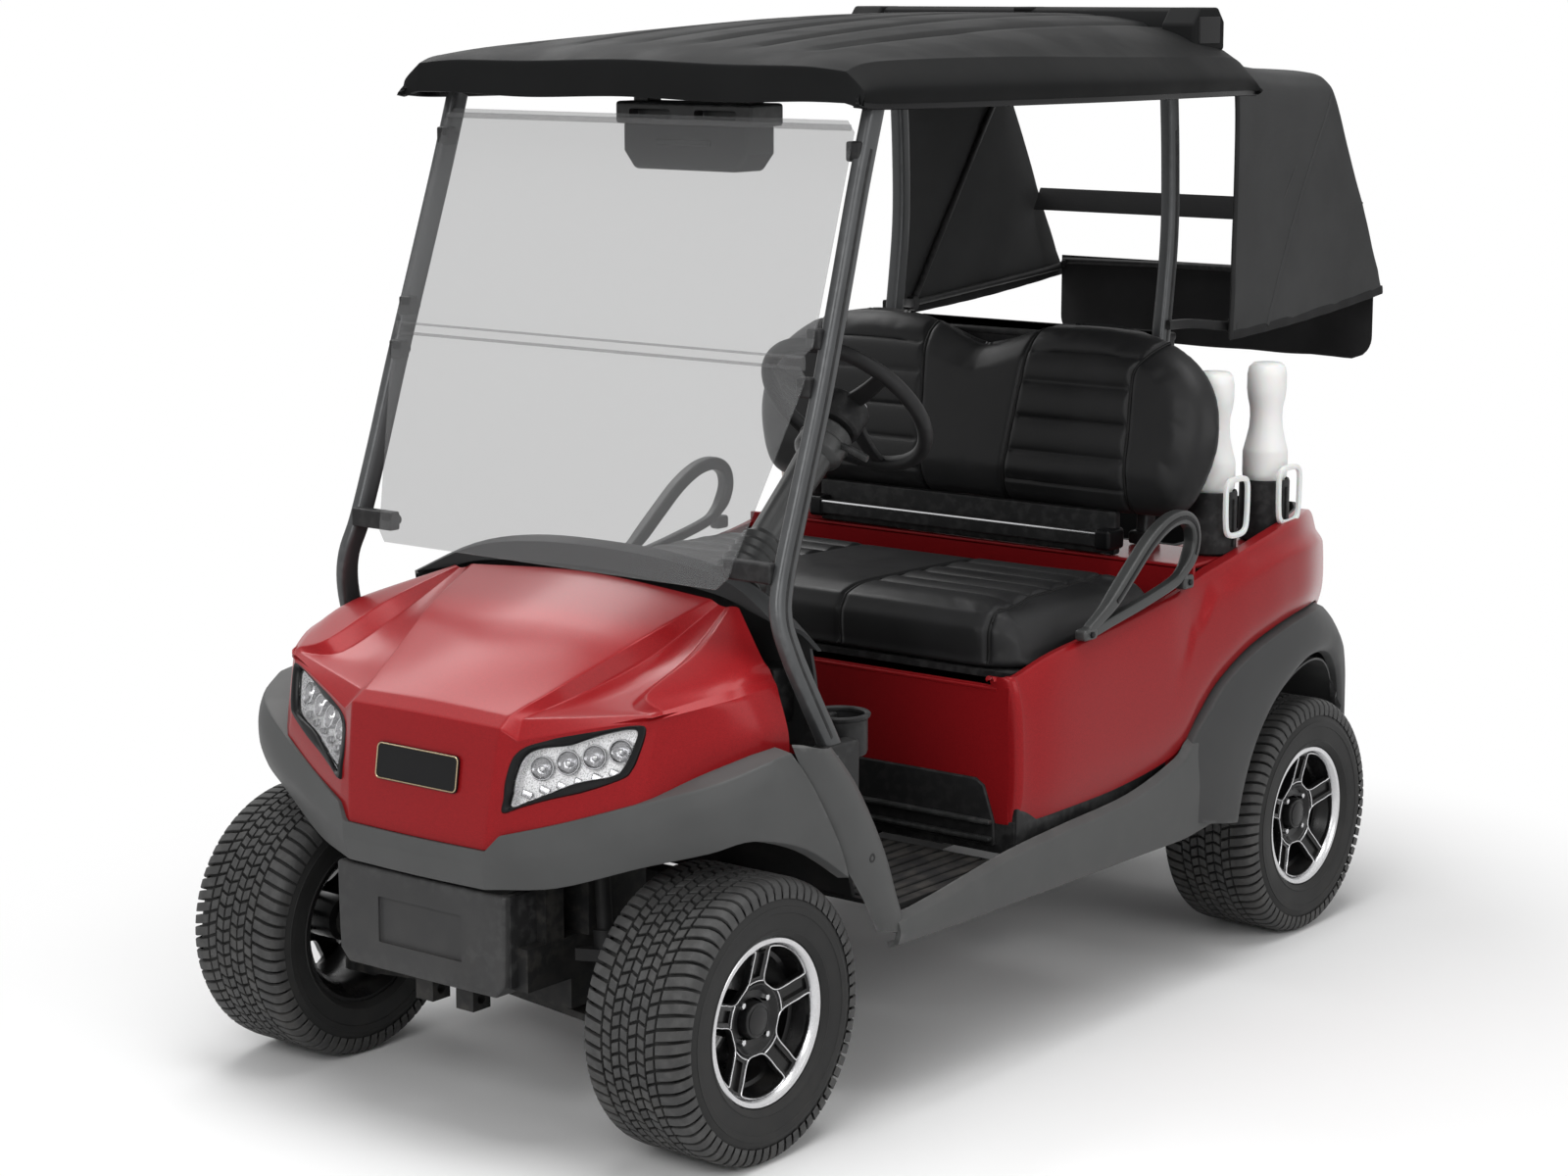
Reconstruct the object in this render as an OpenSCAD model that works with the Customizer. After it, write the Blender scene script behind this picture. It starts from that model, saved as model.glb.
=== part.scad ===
// Two seat golf cart with canopy, fold-down windshield and bag cover.
// Millimetres. Forward is +X, left is +Y, up is +Z, ground is z = 0.
// Stations are lengths ahead of the front axle; from_axle() moves them to the part frame.

/* [Overall] */
// Front axle to the foremost face of the bumper
front_overhang = 245; // [220:1:280]
// Front axle back to the rear tip of the bag cover
rear_reach = 2195; // [2120:1:2300]
// Front axle to rear axle
wheelbase = 1664; // [1600:1:1720]
// Centre of a front tyre from the middle plane
front_half_track = 443; // [430:1:460]
// Centre of a rear tyre from the middle plane
rear_half_track = 455; // [440:1:470]

/* [Wheels] */
// Tread radius of a tyre
tyre_r = 229.5; // [220:0.5:240]
// Width of a tyre
tyre_w = 205; // [190:1:215]
// Bead radius where tyre and rim meet
bead_r = 127; // [120:1:135]
// Half the width of the rim barrel
rim_half = 88; // [80:1:92]
// Radius of the wheel spindle
spindle_r = 17; // [14:0.5:20]
// Count of spoke pairs
spoke_pairs = 5; // [4:1:7]

/* [Steering] */
// Kingpin from the middle plane
kingpin_y = 370; // [360:1:380]
// Steering arm length behind the kingpin
arm_len = 80; // [70:1:84]
// Middle of the steering wheel from the middle plane
wheel_y = 265; // [240:1:290]
// Radius of the steering wheel rim centre line
wheel_ring_r = 148; // [135:1:160]
// Radius of the steering wheel grip
grip_r = 13; // [10:0.5:16]
// Lean of the column from upright
column_lean = 48; // [40:1:55]

/* [Body] */
// Skin of the moulded panels
skin = 8; // [6:0.5:12]
// Floor height
floor_z = 345; // [320:1:360]
// Seat box front face station
seat_front = -676; // [-700:1:-650]
// Half width of the seat cushion
cushion_half = 508; // [480:1:510]
// Top of the seat cushion
cushion_top = 772; // [750:1:790]
// Radius of the armrest tube
armrest_r = 17; // [12:0.5:19]
// Half width of the bag cover
cover_half = 393; // [360:1:400]
// Radius of a cup holder bore
cup_r = 40; // [34:0.5:44]

/* [Roof] */
// Half width of the canopy at its middle
canopy_half = 512; // [480:1:530]
// Crown of the canopy
canopy_top = 1768; // [1740:1:1790]
// Windshield sheet
sheet_t = 5; // [4:0.5:8]

/* [Hidden] */
$fn = 48;
x_front = (front_overhang + rear_reach) / 2 - front_overhang;
x_rear = -wheelbase;
gap = 0.4;
run = 0.06;

// Small helpers
module from_axle() { translate([x_front, 0, 0]) children(); }
module both() { children(); mirror([0, 1, 0]) children(); }
module box(lo, hi) { translate(lo) cube(hi - lo); }
module rod(a, b, r) {
  d = b - a;
  translate(a) rotate([0, acos(d[2] / norm(d)), atan2(d[1], d[0])]) cylinder(h = norm(d), r = r);
}
module bar(a, b, w, t) {
  d = b - a;
  translate(a) rotate([0, acos(d[2] / norm(d)), atan2(d[1], d[0])])
    translate([-t / 2, -w / 2, 0]) cube([t, w, norm(d)]);
}
module side_plate(outline, y, t) { translate([0, y + t, 0]) rotate([90, 0, 0]) linear_extrude(t) polygon(outline); }

function unit(v) = v / norm(v);
function flip_y(p) = [p[0], -p[1], p[2]];
function whole(row) = concat([for (i = [len(row) - 1:-1:1]) flip_y(row[i])], row);
function knot(a, b, c, d, t) = 0.5 * (2 * b + (c - a) * t + (2 * a - 5 * b + 4 * c - d) * t * t
  + (3 * b - a - 3 * c + d) * t * t * t);
function smooth(p, k) = let (n = len(p)) concat([for (i = [0:n - 2]) for (j = [0:k - 1])
  knot(p[max(i - 1, 0)], p[i], p[i + 1], p[min(i + 2, n - 1)], j / k)], [p[n - 1]]);
function turned(g) = [for (c = [0:len(g[0]) - 1]) [for (r = g) r[c]]];
function fine(g, kr, kc) = turned([for (c = turned([for (r = g) smooth(r, kc)])) smooth(c, kr)]);
function volume(p, f, i = 0, s = 0) = i == len(f) ? s
  : volume(p, f, i + 1, s + p[f[i][0]] * cross(p[f[i][1]], p[f[i][2]]));
module solid(p, f) polyhedron(p, volume(p, f) > 0 ? [for (t = f) [t[2], t[1], t[0]]] : f);

// A moulded panel from a grid of points, with its thickness towards the point given
function normal(g, r, c) = let (m = len(g) - 1, n = len(g[0]) - 1)
  unit(cross(g[min(r + 1, m)][c] - g[max(r - 1, 0)][c], g[r][min(c + 1, n)] - g[r][max(c - 1, 0)]));
function inward(g, r, c, ref) = let (n = normal(g, r, c)) n * (ref - g[r][c]) > 0 ? n : -n;
module panel(g, t, ref, way = undef) {
  m = len(g); n = len(g[0]); k = m * n;
  p = concat([for (r = g) for (q = r) q],
    [for (r = [0:m - 1]) for (c = [0:n - 1]) g[r][c] + t * (is_undef(way) ? inward(g, r, c, ref) : way)]);
  face = [for (r = [0:m - 2]) for (c = [0:n - 2]) let (a = r * n + c) each [[a, a + 1, a + n + 1], [a, a + n + 1, a + n]]];
  rim = concat([for (c = [0:n - 1]) c], [for (r = [1:m - 1]) r * n + n - 1],
    [for (c = [n - 2:-1:0]) (m - 1) * n + c], [for (r = [m - 2:-1:1]) r * n]);
  edge = [for (i = [0:len(rim) - 1]) let (a = rim[i], b = rim[(i + 1) % len(rim)]) each [[b, a, a + k], [b, a + k, b + k]]];
  solid(p, concat(face, [for (f = face) [f[2] + k, f[1] + k, f[0] + k]], edge));
}

// A bar of even section swept along points, its second axis held near the side given
module sweep(path, sec, side = [0, 1, 0]) {
  m = len(path); n = len(sec);
  p = [for (i = [0:m - 1]) let (t = unit(path[min(i + 1, m - 1)] - path[max(i - 1, 0)]),
    u = unit(cross(side, t)), v = cross(t, u)) for (s = sec) path[i] + s[0] * u + s[1] * v];
  wall = [for (j = [0:m - 2]) for (i = [0:n - 1]) let (a = j * n + i, b = j * n + (i + 1) % n) each [[a, b, b + n], [a, b + n, a + n]]];
  caps = [for (i = [1:n - 2]) each [[0, i + 1, i], [(m - 1) * n, (m - 1) * n + i, (m - 1) * n + i + 1]]];
  solid(p, concat(wall, caps));
}
function round_sec(a, b, n = 12) = [for (i = [0:n - 1]) [a * cos(360 * (i + 0.5) / n), b * sin(360 * (i + 0.5) / n)]];
function oblong(a, b, e = 0.5, n = 16) = [for (i = [0:n - 1]) let (q = 360 * (i + 0.5) / n, c = cos(q), s = sin(q))
  [a * sign(c) * pow(abs(c), e), b * sign(s) * pow(abs(s), e)]];

// Chassis
rail_in = 150; rail_out = 208; rail_lo = 262; rail_hi = 332;
cross_at = [118, -330, -690, -1240, -1480, -2030];
module frame() color([0.16, 0.16, 0.17]) from_axle() {
  both() {
    box([-2059, rail_in, rail_lo], [196 - gap, rail_out, rail_hi]);
    box([-70, rail_in, rail_hi - 1], [70, 225, 500]);
    box([-62, 168, 499], [-18, 212, 700 - gap]);
    box([110, rail_in, rail_hi - 1], [152, rail_out, 494]);
    box([-2059, rail_in, rail_hi - 1], [-2020, rail_out, 442]);
    box([-1675, rail_in, rail_hi - 1], [-1605, 262, 540 - gap]);
    for (x = [-1345, -1985]) box([x - 22, rail_out - 1, 270], [x + 22, 262, 320]);
  }
  for (x = cross_at) box([x - 22, -rail_in - 1, rail_lo + 8], [x + 22, rail_in + 1, rail_hi - 8]);
  box([-58, -175, 196], [58, 175, rail_lo + 1]);
  difference() {
    box([-arm_len - 16, -120, 208], [-57, 120, 240]);
    translate([-arm_len, -130, 224]) rotate([-90, 0, 0]) cylinder(h = 260, r = 8 + run);
  }
  both() difference() {
    box([130, 26, 196], [170, 64, 240]);
    translate([150, 20, 215]) rotate([-90, 0, 0]) cylinder(h = 60, r = 9);
  }
  both() box([118, 26, 232], [146, 64, rail_lo + 12]);
}

// Front axle pieces that stay still
module front_suspension() color([0.2, 0.2, 0.21]) from_axle() both() difference() {
  union() {
    bar([0, 10, 188], [0, kingpin_y - 40, 162], 60, 12);
    translate([0, kingpin_y, 150]) cylinder(h = 20, r = 24);
    box([-22, kingpin_y - 60, 150], [22, kingpin_y - 10, 168]);
    for (s = [-1, 1]) bar([s * 80, rail_out - 2, 300], [s * 8, kingpin_y - 16, 300], 12, 20);
    translate([0, kingpin_y, 290]) cylinder(h = 20, r = 24);
    rod([46, 252, 190], [46, 238, 340], 20);
    rod([46, 238, 338], [46, 230, 470], 13);
  }
  for (z = [140, 280]) translate([0, kingpin_y, z]) cylinder(h = 40, r = 9 + run);
  box([-58.4, -1, 196 - gap], [58.4, 175.4, 262]);
  box([-71, 140, 331], [71, 225 + gap, 501]);
  box([-120, 140, 261], [160, rail_out + gap, 333]);
}

module knuckle() {
  translate([0, kingpin_y, 171]) cylinder(h = 118, r = 21);
  translate([0, kingpin_y, 154]) cylinder(h = 152, r = 9);
  translate([0, kingpin_y, tyre_r]) rotate([-90, 0, 0]) cylinder(h = front_half_track + 46 - kingpin_y, r = spindle_r);
  translate([0, kingpin_y, tyre_r]) rotate([-90, 0, 0]) cylinder(h = 24, r = 30);
  difference() {
    union() {
      box([-arm_len, kingpin_y - 12, 196], [0, kingpin_y + 12, 210]);
      translate([-arm_len, kingpin_y, 196]) cylinder(h = 14, r = 16);
    }
    translate([-arm_len, kingpin_y, 190]) cylinder(h = 30, r = 6);
  }
}
module knuckle_left() color([0.2, 0.2, 0.21]) from_axle() knuckle();
module knuckle_right() color([0.2, 0.2, 0.21]) from_axle() mirror([0, 1, 0]) knuckle();

module steering_rack() color([0.35, 0.35, 0.36]) from_axle() {
  translate([-arm_len, -kingpin_y, 224]) rotate([-90, 0, 0]) cylinder(h = 2 * kingpin_y, r = 8);
  both() translate([-arm_len, kingpin_y, 214]) cylinder(h = 20, r = 12);
}

// Rear axle pieces
axle_r = 30;
module rear_axle() color([0.19, 0.19, 0.2]) from_axle() translate([x_rear, 0, tyre_r]) {
  rotate([-90, 0, 0]) {
    translate([0, 0, -(rear_half_track - 62)]) cylinder(h = 2 * (rear_half_track - 62), r = axle_r);
    translate([0, 0, -(rear_half_track + 46)]) cylinder(h = 2 * (rear_half_track + 46), r = spindle_r);
    translate([0, 0, -70]) cylinder(h = 140, r = 98);
    translate([164, 40, -110]) cylinder(h = 250, r = 72);
  }
  box([60, -60, -70], [170, 60, 20]);
}
spring_y = rail_out + 0.567 * (rear_half_track - tyre_w / 2 - rail_out);
module rear_suspension() color([0.21, 0.21, 0.22]) from_axle() both() difference() {
  union() {
    bar([-1330, spring_y, 284], [x_rear, spring_y, 176], 50, 14);
    bar([x_rear, spring_y, 176], [-2000, spring_y, 284], 50, 14);
    box([x_rear - 45, spring_y - 28, 166], [x_rear + 45, spring_y + 28, 206]);
    rod([-1718, 236, 190], [-1668, 236, 330], 21);
    rod([-1668, 236, 328], [-1648, 236, 440], 13);
    box([-1735, 222, 166], [-1664, spring_y + 1, 192]);
  }
  for (x = [-1345, -1985]) box([x - 22 - gap, 200, 270 - gap], [x + 22 + gap, 262 + gap, 320 + gap]);
  box([-1675 - gap, 140, 320], [-1605 + gap, 262 + gap, 541]);
  translate([x_rear, 100, tyre_r]) rotate([-90, 0, 0]) cylinder(h = 250, r = axle_r + gap);
}
module battery_pack() color([0.12, 0.12, 0.13]) from_axle() box([-1150, -340, rail_hi + gap], [-735, 340, 600]);

// Wheels
tread_edge = 14;
function arc(cx, cy, r, a, b, n) = [for (i = [0:n]) let (q = a + (b - a) * i / n) [cx + r * cos(q), cy + r * sin(q)]];
function tyre_half(w, r, b) = concat([[r, 0]], [[r, w - 30]], arc(r - 24, w - 26, 24, 20, 62, 3),
  [[r - 44, w - 1], [(r + b) / 2 + 8, w], [b + 22, w - 5], [b + 10, w - 12], [b + 9.6, rim_half - 5 - gap], [b + 1, rim_half - 5 - gap]]);
module tyre_turn() {
  h = tyre_half(tyre_w / 2, tyre_r, bead_r);
  rotate([-90, 0, 0]) rotate_extrude($fn = 96) polygon(concat(h, [for (i = [len(h) - 1:-1:1]) [h[i][0], -h[i][1]]]));
}
module rim_turn() rotate([-90, 0, 0]) {
  difference() {
    rotate_extrude($fn = 72) polygon([[bead_r - 9, -rim_half], [bead_r + 9, -rim_half], [bead_r + 9, -rim_half + 5],
      [bead_r + 0.6, -rim_half + 5], [bead_r + 0.6, -rim_half + 22], [108, -rim_half + 40], [108, 30], [bead_r + 0.6, rim_half - 24],
      [bead_r + 0.6, rim_half - 5], [bead_r + 9, rim_half - 5], [bead_r + 9, rim_half], [bead_r - 6, rim_half],
      [bead_r - 12, rim_half - 14], [101, 26], [101, -rim_half + 44], [bead_r - 12, -rim_half + 24]]);
  }
  difference() {
    union() {
      translate([0, 0, -40]) cylinder(h = 84, r = 38);
      translate([0, 0, 34]) cylinder(h = 14, r = 52);
      for (i = [0:spoke_pairs - 1]) rotate(90 + 360 * i / spoke_pairs) for (s = [-1, 1])
        rotate(s * 13) translate([36, -9, 40]) cube([74, 18, 16]);
    }
    translate([0, 0, -60]) cylinder(h = 100, r = spindle_r + run);
    translate([0, 0, 30]) cylinder(h = 17, r = spindle_r + run);
  }
}
spot = [[0, front_half_track, 1], [0, -front_half_track, -1], [x_rear, rear_half_track, 1], [x_rear, -rear_half_track, -1]];
module at_wheel(i) from_axle() translate([spot[i][0], spot[i][1], tyre_r]) mirror([0, spot[i][2] < 0 ? 1 : 0, 0]) children();
module tyre(i) color([0.06, 0.06, 0.06]) at_wheel(i) tyre_turn();
module rim(i) color([0.5, 0.5, 0.52]) at_wheel(i) rim_turn();
module tyre_fl() tyre(0);
module tyre_fr() tyre(1);
module tyre_rl() tyre(2);
module tyre_rr() tyre(3);
module rim_fl() rim(0);
module rim_fr() rim(1);
module rim_rl() rim(2);
module rim_rr() rim(3);

// Front body. Each row runs from the middle plane out to the side and back.
cowl_rows = [
  [[229, 0, 518], [227, 150, 519], [203, 215, 538], [138, 385, 598], [0, 488, 646], [-90, 505, 652]],
  [[219, 0, 600], [216, 157, 600], [198, 208, 588], [136, 374, 632], [0, 486, 684], [-90, 500, 692]],
  [[205, 0, 684], [202, 163, 682], [179, 222, 662], [113, 398, 712], [0, 468, 736], [-92, 478, 744]],
  [[178, 0, 702], [176, 160, 699], [154, 222, 680], [94, 390, 724], [-12, 456, 747], [-95, 468, 754]],
  [[20, 0, 776], [22, 145, 770], [12, 222, 760], [-20, 330, 768], [-70, 400, 776], [-112, 430, 782]],
  [[-190, 0, 857], [-190, 110, 854], [-191, 190, 848], [-193, 245, 842], [-195, 282, 838], [-196, 318, 832]]];
lamp_rows = [[[216, 197, 571], [180, 282, 599], [140, 368, 626]], [[177, 218, 650], [150, 298, 673], [117, 379, 694]]];
function wider(g, e) = let (c = (g[0][0] + g[0][2] + g[1][0] + g[1][2]) / 4) [for (r = g) [for (p = r) p + e * unit(p - c)]];
function pushed(g, d) = [for (r = g) [for (p = r) p + d]];
lamp_dir = unit([0.86, 0.42, 0.3]);
module lamp(e, front, back) panel(pushed(wider(lamp_rows, e), front * lamp_dir), front + back, [0, 0, 0], -lamp_dir);
module front_cowl() color([0.62, 0.02, 0.03]) from_axle() {
  difference() {
    panel(fine([for (r = cowl_rows) whole(r)], 3, 3), skin, [-150, 0, 500]);
    both() lamp(0.6, 40, 60);
  }
  both() box([-70, 160, 700], [-10, 220, 770]);
}
module headlamps() color([0.75, 0.76, 0.78]) from_axle() both() lamp(0, 2, 24);

bumper_rows = [
  [[232, 0, 426], [230, 150, 427], [186, 265, 440], [136, 390, 482], [90, 490, 512], [30, 530, 526], [-80, 546, 494], [-160, 554, 428]],
  [[245, 0, 472], [242, 152, 474], [200, 272, 492], [150, 405, 530], [98, 510, 565], [25, 552, 588], [-48, 560, 576], [-102, 564, 545]],
  [[236, 0, 513], [234, 156, 514], [188, 270, 544], [137, 402, 588], [86, 500, 622], [16, 540, 646], [-8, 545, 650], [-22, 548, 652]]];
module front_bumper() color([0.36, 0.37, 0.38]) from_axle() {
  panel(fine([for (r = bumper_rows) whole(r)], 3, 3), 14, [-200, 0, 480]);
  both() box([152 + gap, 160, 450], [222, 200, 494]);
}

module front_shield() color([0.05, 0.05, 0.055]) from_axle() {
  difference() {
    translate([196, 0, 0]) rotate([90, 0, 90]) linear_extrude(28)
      polygon([[-182, 412], [-172, 330], [-150, 262], [-130, 252], [130, 252], [150, 262], [172, 330], [182, 412]]);
    box([180, -140, 264], [216, 140, 401]);
    box([220, -90, 300], [230, 90, 372]);
  }
  translate([216.7, 0, 600]) rotate([0, -8.4, 0]) box([3.4, -92, -32], [8, 92, 32]);
}

// Dash, column and pedals
dash_rows = [
  [[-204, 0, 862], [-204, 160, 857], [-206, 270, 845], [-205, 330, 828]],
  [[-210, 0, 897], [-210, 160, 890], [-210, 290, 866], [-190, 400, 815]],
  [[-245, 0, 902], [-245, 160, 896], [-240, 300, 868], [-215, 430, 806]],
  [[-300, 0, 860], [-300, 170, 856], [-285, 320, 830], [-245, 448, 772]],
  [[-318, 0, 740], [-318, 180, 738], [-305, 330, 722], [-262, 452, 690]],
  [[-300, 0, 600], [-300, 180, 600], [-292, 330, 596], [-268, 452, 600]]];
column_top = [-550, wheel_y, 1122];
column_dir = [sin(column_lean), 0, -cos(column_lean)];
function along(d) = column_top + d * column_dir;
cup_at = [-276, 462, 598];
module dash() color([0.13, 0.13, 0.14]) from_axle() {
  difference() {
    panel(fine([for (r = dash_rows) whole(r)], 3, 3), skin, [-150, 0, 650]);
    rod(along(140), along(500), 28 + gap);
    both() box([cup_at[0] - 70, cup_at[1] - cup_r - 5 - gap, 560], [cup_at[0] + 70, 560, 770]);
  }
  both() difference() {
    translate(cup_at) cylinder(h = 66, r = cup_r + 5);
    translate(cup_at + [0, 0, 6]) cylinder(h = 140, r = cup_r);
  }
}
module steering_column() color([0.09, 0.09, 0.1]) from_axle() difference() {
  union() {
    rod(along(60), along(430), 28);
    rod(along(62), along(110), 42);
  }
  rod(along(50), along(150), 12 + run);
}
module steering_wheel() color([0.07, 0.07, 0.075]) from_axle() translate(column_top) rotate([0, -column_lean, 0]) {
  rotate_extrude($fn = 96) translate([wheel_ring_r, 0]) circle(grip_r, $fn = 24);
  translate([0, 0, -52]) cylinder(h = 54, r = 46);
  translate([0, 0, -130]) cylinder(h = 90, r = 12);
  for (a = [0, 125, 235]) rotate(a + 180) translate([30, -13, -14]) cube([wheel_ring_r - 36, 26, 13]);
}
module toe_board(e) bar([-345, 0, floor_z - 4], [-262, 0, 586], 880, 9 + 2 * e);
module pedals() color([0.1, 0.1, 0.1]) from_axle() difference() {
  for (y = [150, 330]) {
    translate([-372, y, 440]) rotate([0, 28, 0]) box([-6, -42, -34], [6, 42, 34]);
    bar([-368, y, 446], [-274, y, 564], 14, 10);
  }
  toe_board(gap);
}

// Floor and sills
module floor_pan() color([0.08, 0.08, 0.085]) from_axle() {
  box([seat_front + gap, -532, rail_hi + gap], [-340, 532, floor_z]);
  toe_board(0);
  box([-308, -300, 584], [-256, 300, 596.6]);
}
pillar = [[-92, 655, 48], [-140, 590, 60], [-190, 515, 60], [-230, 445, 58], [-270, 375, 46], [-302, 312, 40]];
sill_rows = [[-262, 282, 336], [-420, 281, 352], [-580, 280, 372], [-860, 279, 384], [-1155, 278, 398], [-1275, 288, 424]];
arch_rows = [[168, 312, 404], [150, 314, 402], [130, 316, 398], [110, 318, 396], [90, 319, 396], [72, 318, 400], [56, 316, 396], [42, 314, 384]];
tab_at = [[-1440, 562], [-1600, 602]];
function arch_y(x) = 584 - 0.00062 * pow(max(0, -1480 - x), 2);
function arch_pt(r, a) = [x_rear + r * cos(180 - a), tyre_r + r * sin(a)];
module sills() color([0.36, 0.37, 0.38]) from_axle() both() {
  box([-1180, 532 + gap, 316], [-300, 548, floor_z]);
  box([-236, 532, 545], [-166, 548, 600]);
  for (t = tab_at) box([t[0] - 18, 540 + gap, t[1] - 34], [t[0] + 18, 564, t[1] - 6]);
  panel(fine(turned([for (s = pillar) [[s[0] + s[2], 548, s[1] + 8], [s[0], 566, s[1]], [s[0] - s[2], 548, s[1] - 8]]]), 2, 3), 14, [-200, 0, 480]);
  panel(fine(turned([for (s = sill_rows) [[s[0], 540, s[1]], [s[0], 572, (s[1] + s[2]) / 2], [s[0], 552, s[2]]]]), 2, 3), 14, [-700, 0, 330]);
  panel(fine(turned([for (a = arch_rows) let (i = arch_pt(a[1], a[0]), o = arch_pt(a[2], a[0]))
    [[i[0], arch_y(i[0]) - 16, i[1]], [(i[0] + o[0]) / 2, arch_y(i[0]), (i[1] + o[1]) / 2], [o[0], arch_y(o[0]) - 10, o[1]]]]), 2, 3), 12, [x_rear, 0, 300]);
}

// Seat box and rear body
module seat_box_front() color([0.62, 0.02, 0.03]) from_axle() difference() {
  box([seat_front - skin, -518, 352], [seat_front, 518, 646]);
  box([seat_front - 20, 210.6, 368.6], [seat_front + 1, 469.4, 481.4]);
}
module kick_plate() color([0.4, 0.41, 0.42]) from_axle() difference() {
  box([seat_front - 26, 211, 369], [seat_front + 4, 469, 481]);
  box([seat_front - 18, 232, 388], [seat_front + 5, 448, 464]);
}
body_rows = [[-672, 540, 388, 664], [-800, 552, 396, 690], [-1000, 556, 408, 712], [-1172, 560, 446, 736], [-1240, 562, 505, 748],
  [-1300, 565, 556, 761], [-1400, 570, 606, 782], [-1520, 571, 636, 806], [-1640, 563, 646, 818], [-1780, 538, 632, 810], [-1920, 486, 590, 778], [-2056, 410, 520, 726]];
module body_sides() color([0.62, 0.02, 0.03]) from_axle() both() {
  panel(fine(turned([for (s = body_rows) [[s[0], s[1] - 12, s[2]], [s[0], s[1], s[2] * 0.62 + s[3] * 0.38], [s[0], s[1] - 9, s[3] - 34],
    [s[0], s[1] - 20, s[3] - 6], [s[0], s[1] - (s[0] > -1250 ? 20 : s[0] < -1850 ? 26 : 46), s[3]]]]), 2, 2), skin, [-1300, 0, 500]);
  box([seat_front - skin - gap - 10, 505, 400], [seat_front - skin - gap, 538, 640]);
  box([-1262 + gap, 500, 520], [-1250, 556, 735]);
  for (t = tab_at) {
    box([t[0] - 18, 528, t[1] - 34], [t[0] + 18, 540, t[1] + 72]);
    box([t[0] - 18, 528, t[1] + 50], [t[0] + 18, 556, t[1] + 72]);
  }
}
well_top = 774; shelf_in = 372;
module rear_deck() color([0.62, 0.02, 0.03]) from_axle() {
  box([-1272, -520, 352], [-1262, 520, well_top]);
  box([-1442 + gap, -505, well_top - 12], [-1262, 505, well_top]);
  both() box([-1662, shelf_in, well_top - 12], [-1440, 500, well_top]);
  both() hinge_lug();
  box([-2068, -406, 470], [-2057, 406, 640]);
}
module bag_well() color([0.06, 0.06, 0.065]) from_axle() difference() {
  box([-2057 + gap, gap - shelf_in, 540], [-1442, shelf_in - gap, well_top]);
  box([-2047, 10 - shelf_in, 550], [-1452, shelf_in - 10, well_top + 1]);
  for (s = [-1, 1]) translate([-1900, s * 180, 530]) cylinder(h = 40, r = 118);
}
module rear_bumper() color([0.1, 0.1, 0.105]) from_axle()
{
  sweep(smooth([[-2020, -436, 420], [-2066, -406, 420], [-2094, -320, 420], [-2104, 0, 420], [-2094, 320, 420], [-2066, 406, 420], [-2020, 436, 420]], 4),
    oblong(14, 46, 0.6, 12), [0, 0, 1]);
  both() box([-2094, 160, 398], [-2059 - gap, 200, 440]);
}
module tail_lamps() color([0.5, 0.02, 0.02]) from_axle() both() box([-2076, 300, 560], [-2068 - gap, 372, 620]);

// Seat
back_edge = [[0, 862], [240, 862], [430, 864], [484, 880], [516, 940], [530, 1010], [516, 1090], [470, 1150], [390, 1192], [268, 1215], [150, 1205], [60, 1176], [0, 1162]];
function mirrored2(p) = concat(p, [for (i = [len(p) - 2:-1:1]) [-p[i][0], p[i][1]]]);
module leaned(base, h) translate([base, 0, 862]) rotate([0, -12, 0]) translate([-h, 0, -862]) rotate([90, 0, 90]) linear_extrude(h) children();
module seat_back() color([0.05, 0.05, 0.055]) from_axle() leaned(-1236, 84) polygon(mirrored2(back_edge));
module seat_back_frame() color([0.08, 0.08, 0.085]) from_axle() {
  leaned(-1236 - (84 + gap) / cos(12) + 0.0, 12) polygon([for (p = mirrored2(back_edge)) [p[0] * 0.96, 862 + (p[1] - 862) * 0.96]]);
  box([-1290, -330, 792], [-1242, 330, 818]);
  both() box([-1356, 214, well_top + gap], [-1290 + 1, 262, 818]);
  both() box([-1356, 214, 800], [-1336, 262, 900]);
}
cushion_side = [[-706, 664], [-692, 680], [-688, 720], [-694, cushion_top - 22], [-712, cushion_top - 6], [-745, cushion_top],
  [-1144, cushion_top - 6], [-1172, cushion_top - 14], [-1182, cushion_top - 34], [-1182, 664]];
hinge_x = -1200; hinge_z = 705;
module seat_cushion() color([0.05, 0.05, 0.055]) from_axle() side_plate(cushion_side, -cushion_half, 2 * cushion_half);
module seat_board() color([0.1, 0.1, 0.1]) from_axle() {
  box([-1188, -cushion_half + 8, 652], [-704, cushion_half - 8, 663.6]);
  both() difference() {
    union() {
      box([-1208, 300, 652], [-1188.4, 326, 710]);
      translate([hinge_x, 300, hinge_z]) rotate([-90, 0, 0]) cylinder(h = 26, r = 10);
      box([-1200, 300, 652], [-1180, 326, 663.6]);
    }
    translate([hinge_x, 290, hinge_z]) rotate([-90, 0, 0]) cylinder(h = 50, r = 5 + run);
  }
}
module hinge_lug() {
  box([-1266, 330, 690], [hinge_x - 4, 342, 720]);
  translate([hinge_x, 330, hinge_z]) rotate([-90, 0, 0]) cylinder(h = 12, r = 11);
  translate([hinge_x, 298, hinge_z]) rotate([-90, 0, 0]) cylinder(h = 40, r = 5);
}
arm_path = [[-872, 545, 718], [-932, 545, 758], [-1020, 545, 812], [-1105, 545, 876], [-1170, 545, 910], [-1226, 545, 912], [-1262, 545, 880], [-1262, 545, 836], [-1236, 545, 800], [-1198, 545, 768]];
module armrests() color([0.17, 0.17, 0.18]) from_axle() both() {
  sweep(smooth(arm_path, 3), round_sec(armrest_r, armrest_r));
  box([-886, 531, 701.9], [-856, 555, 722]);
  box([-1206, 531, 745.9], [-1180, 555, 772]);
}

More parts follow.
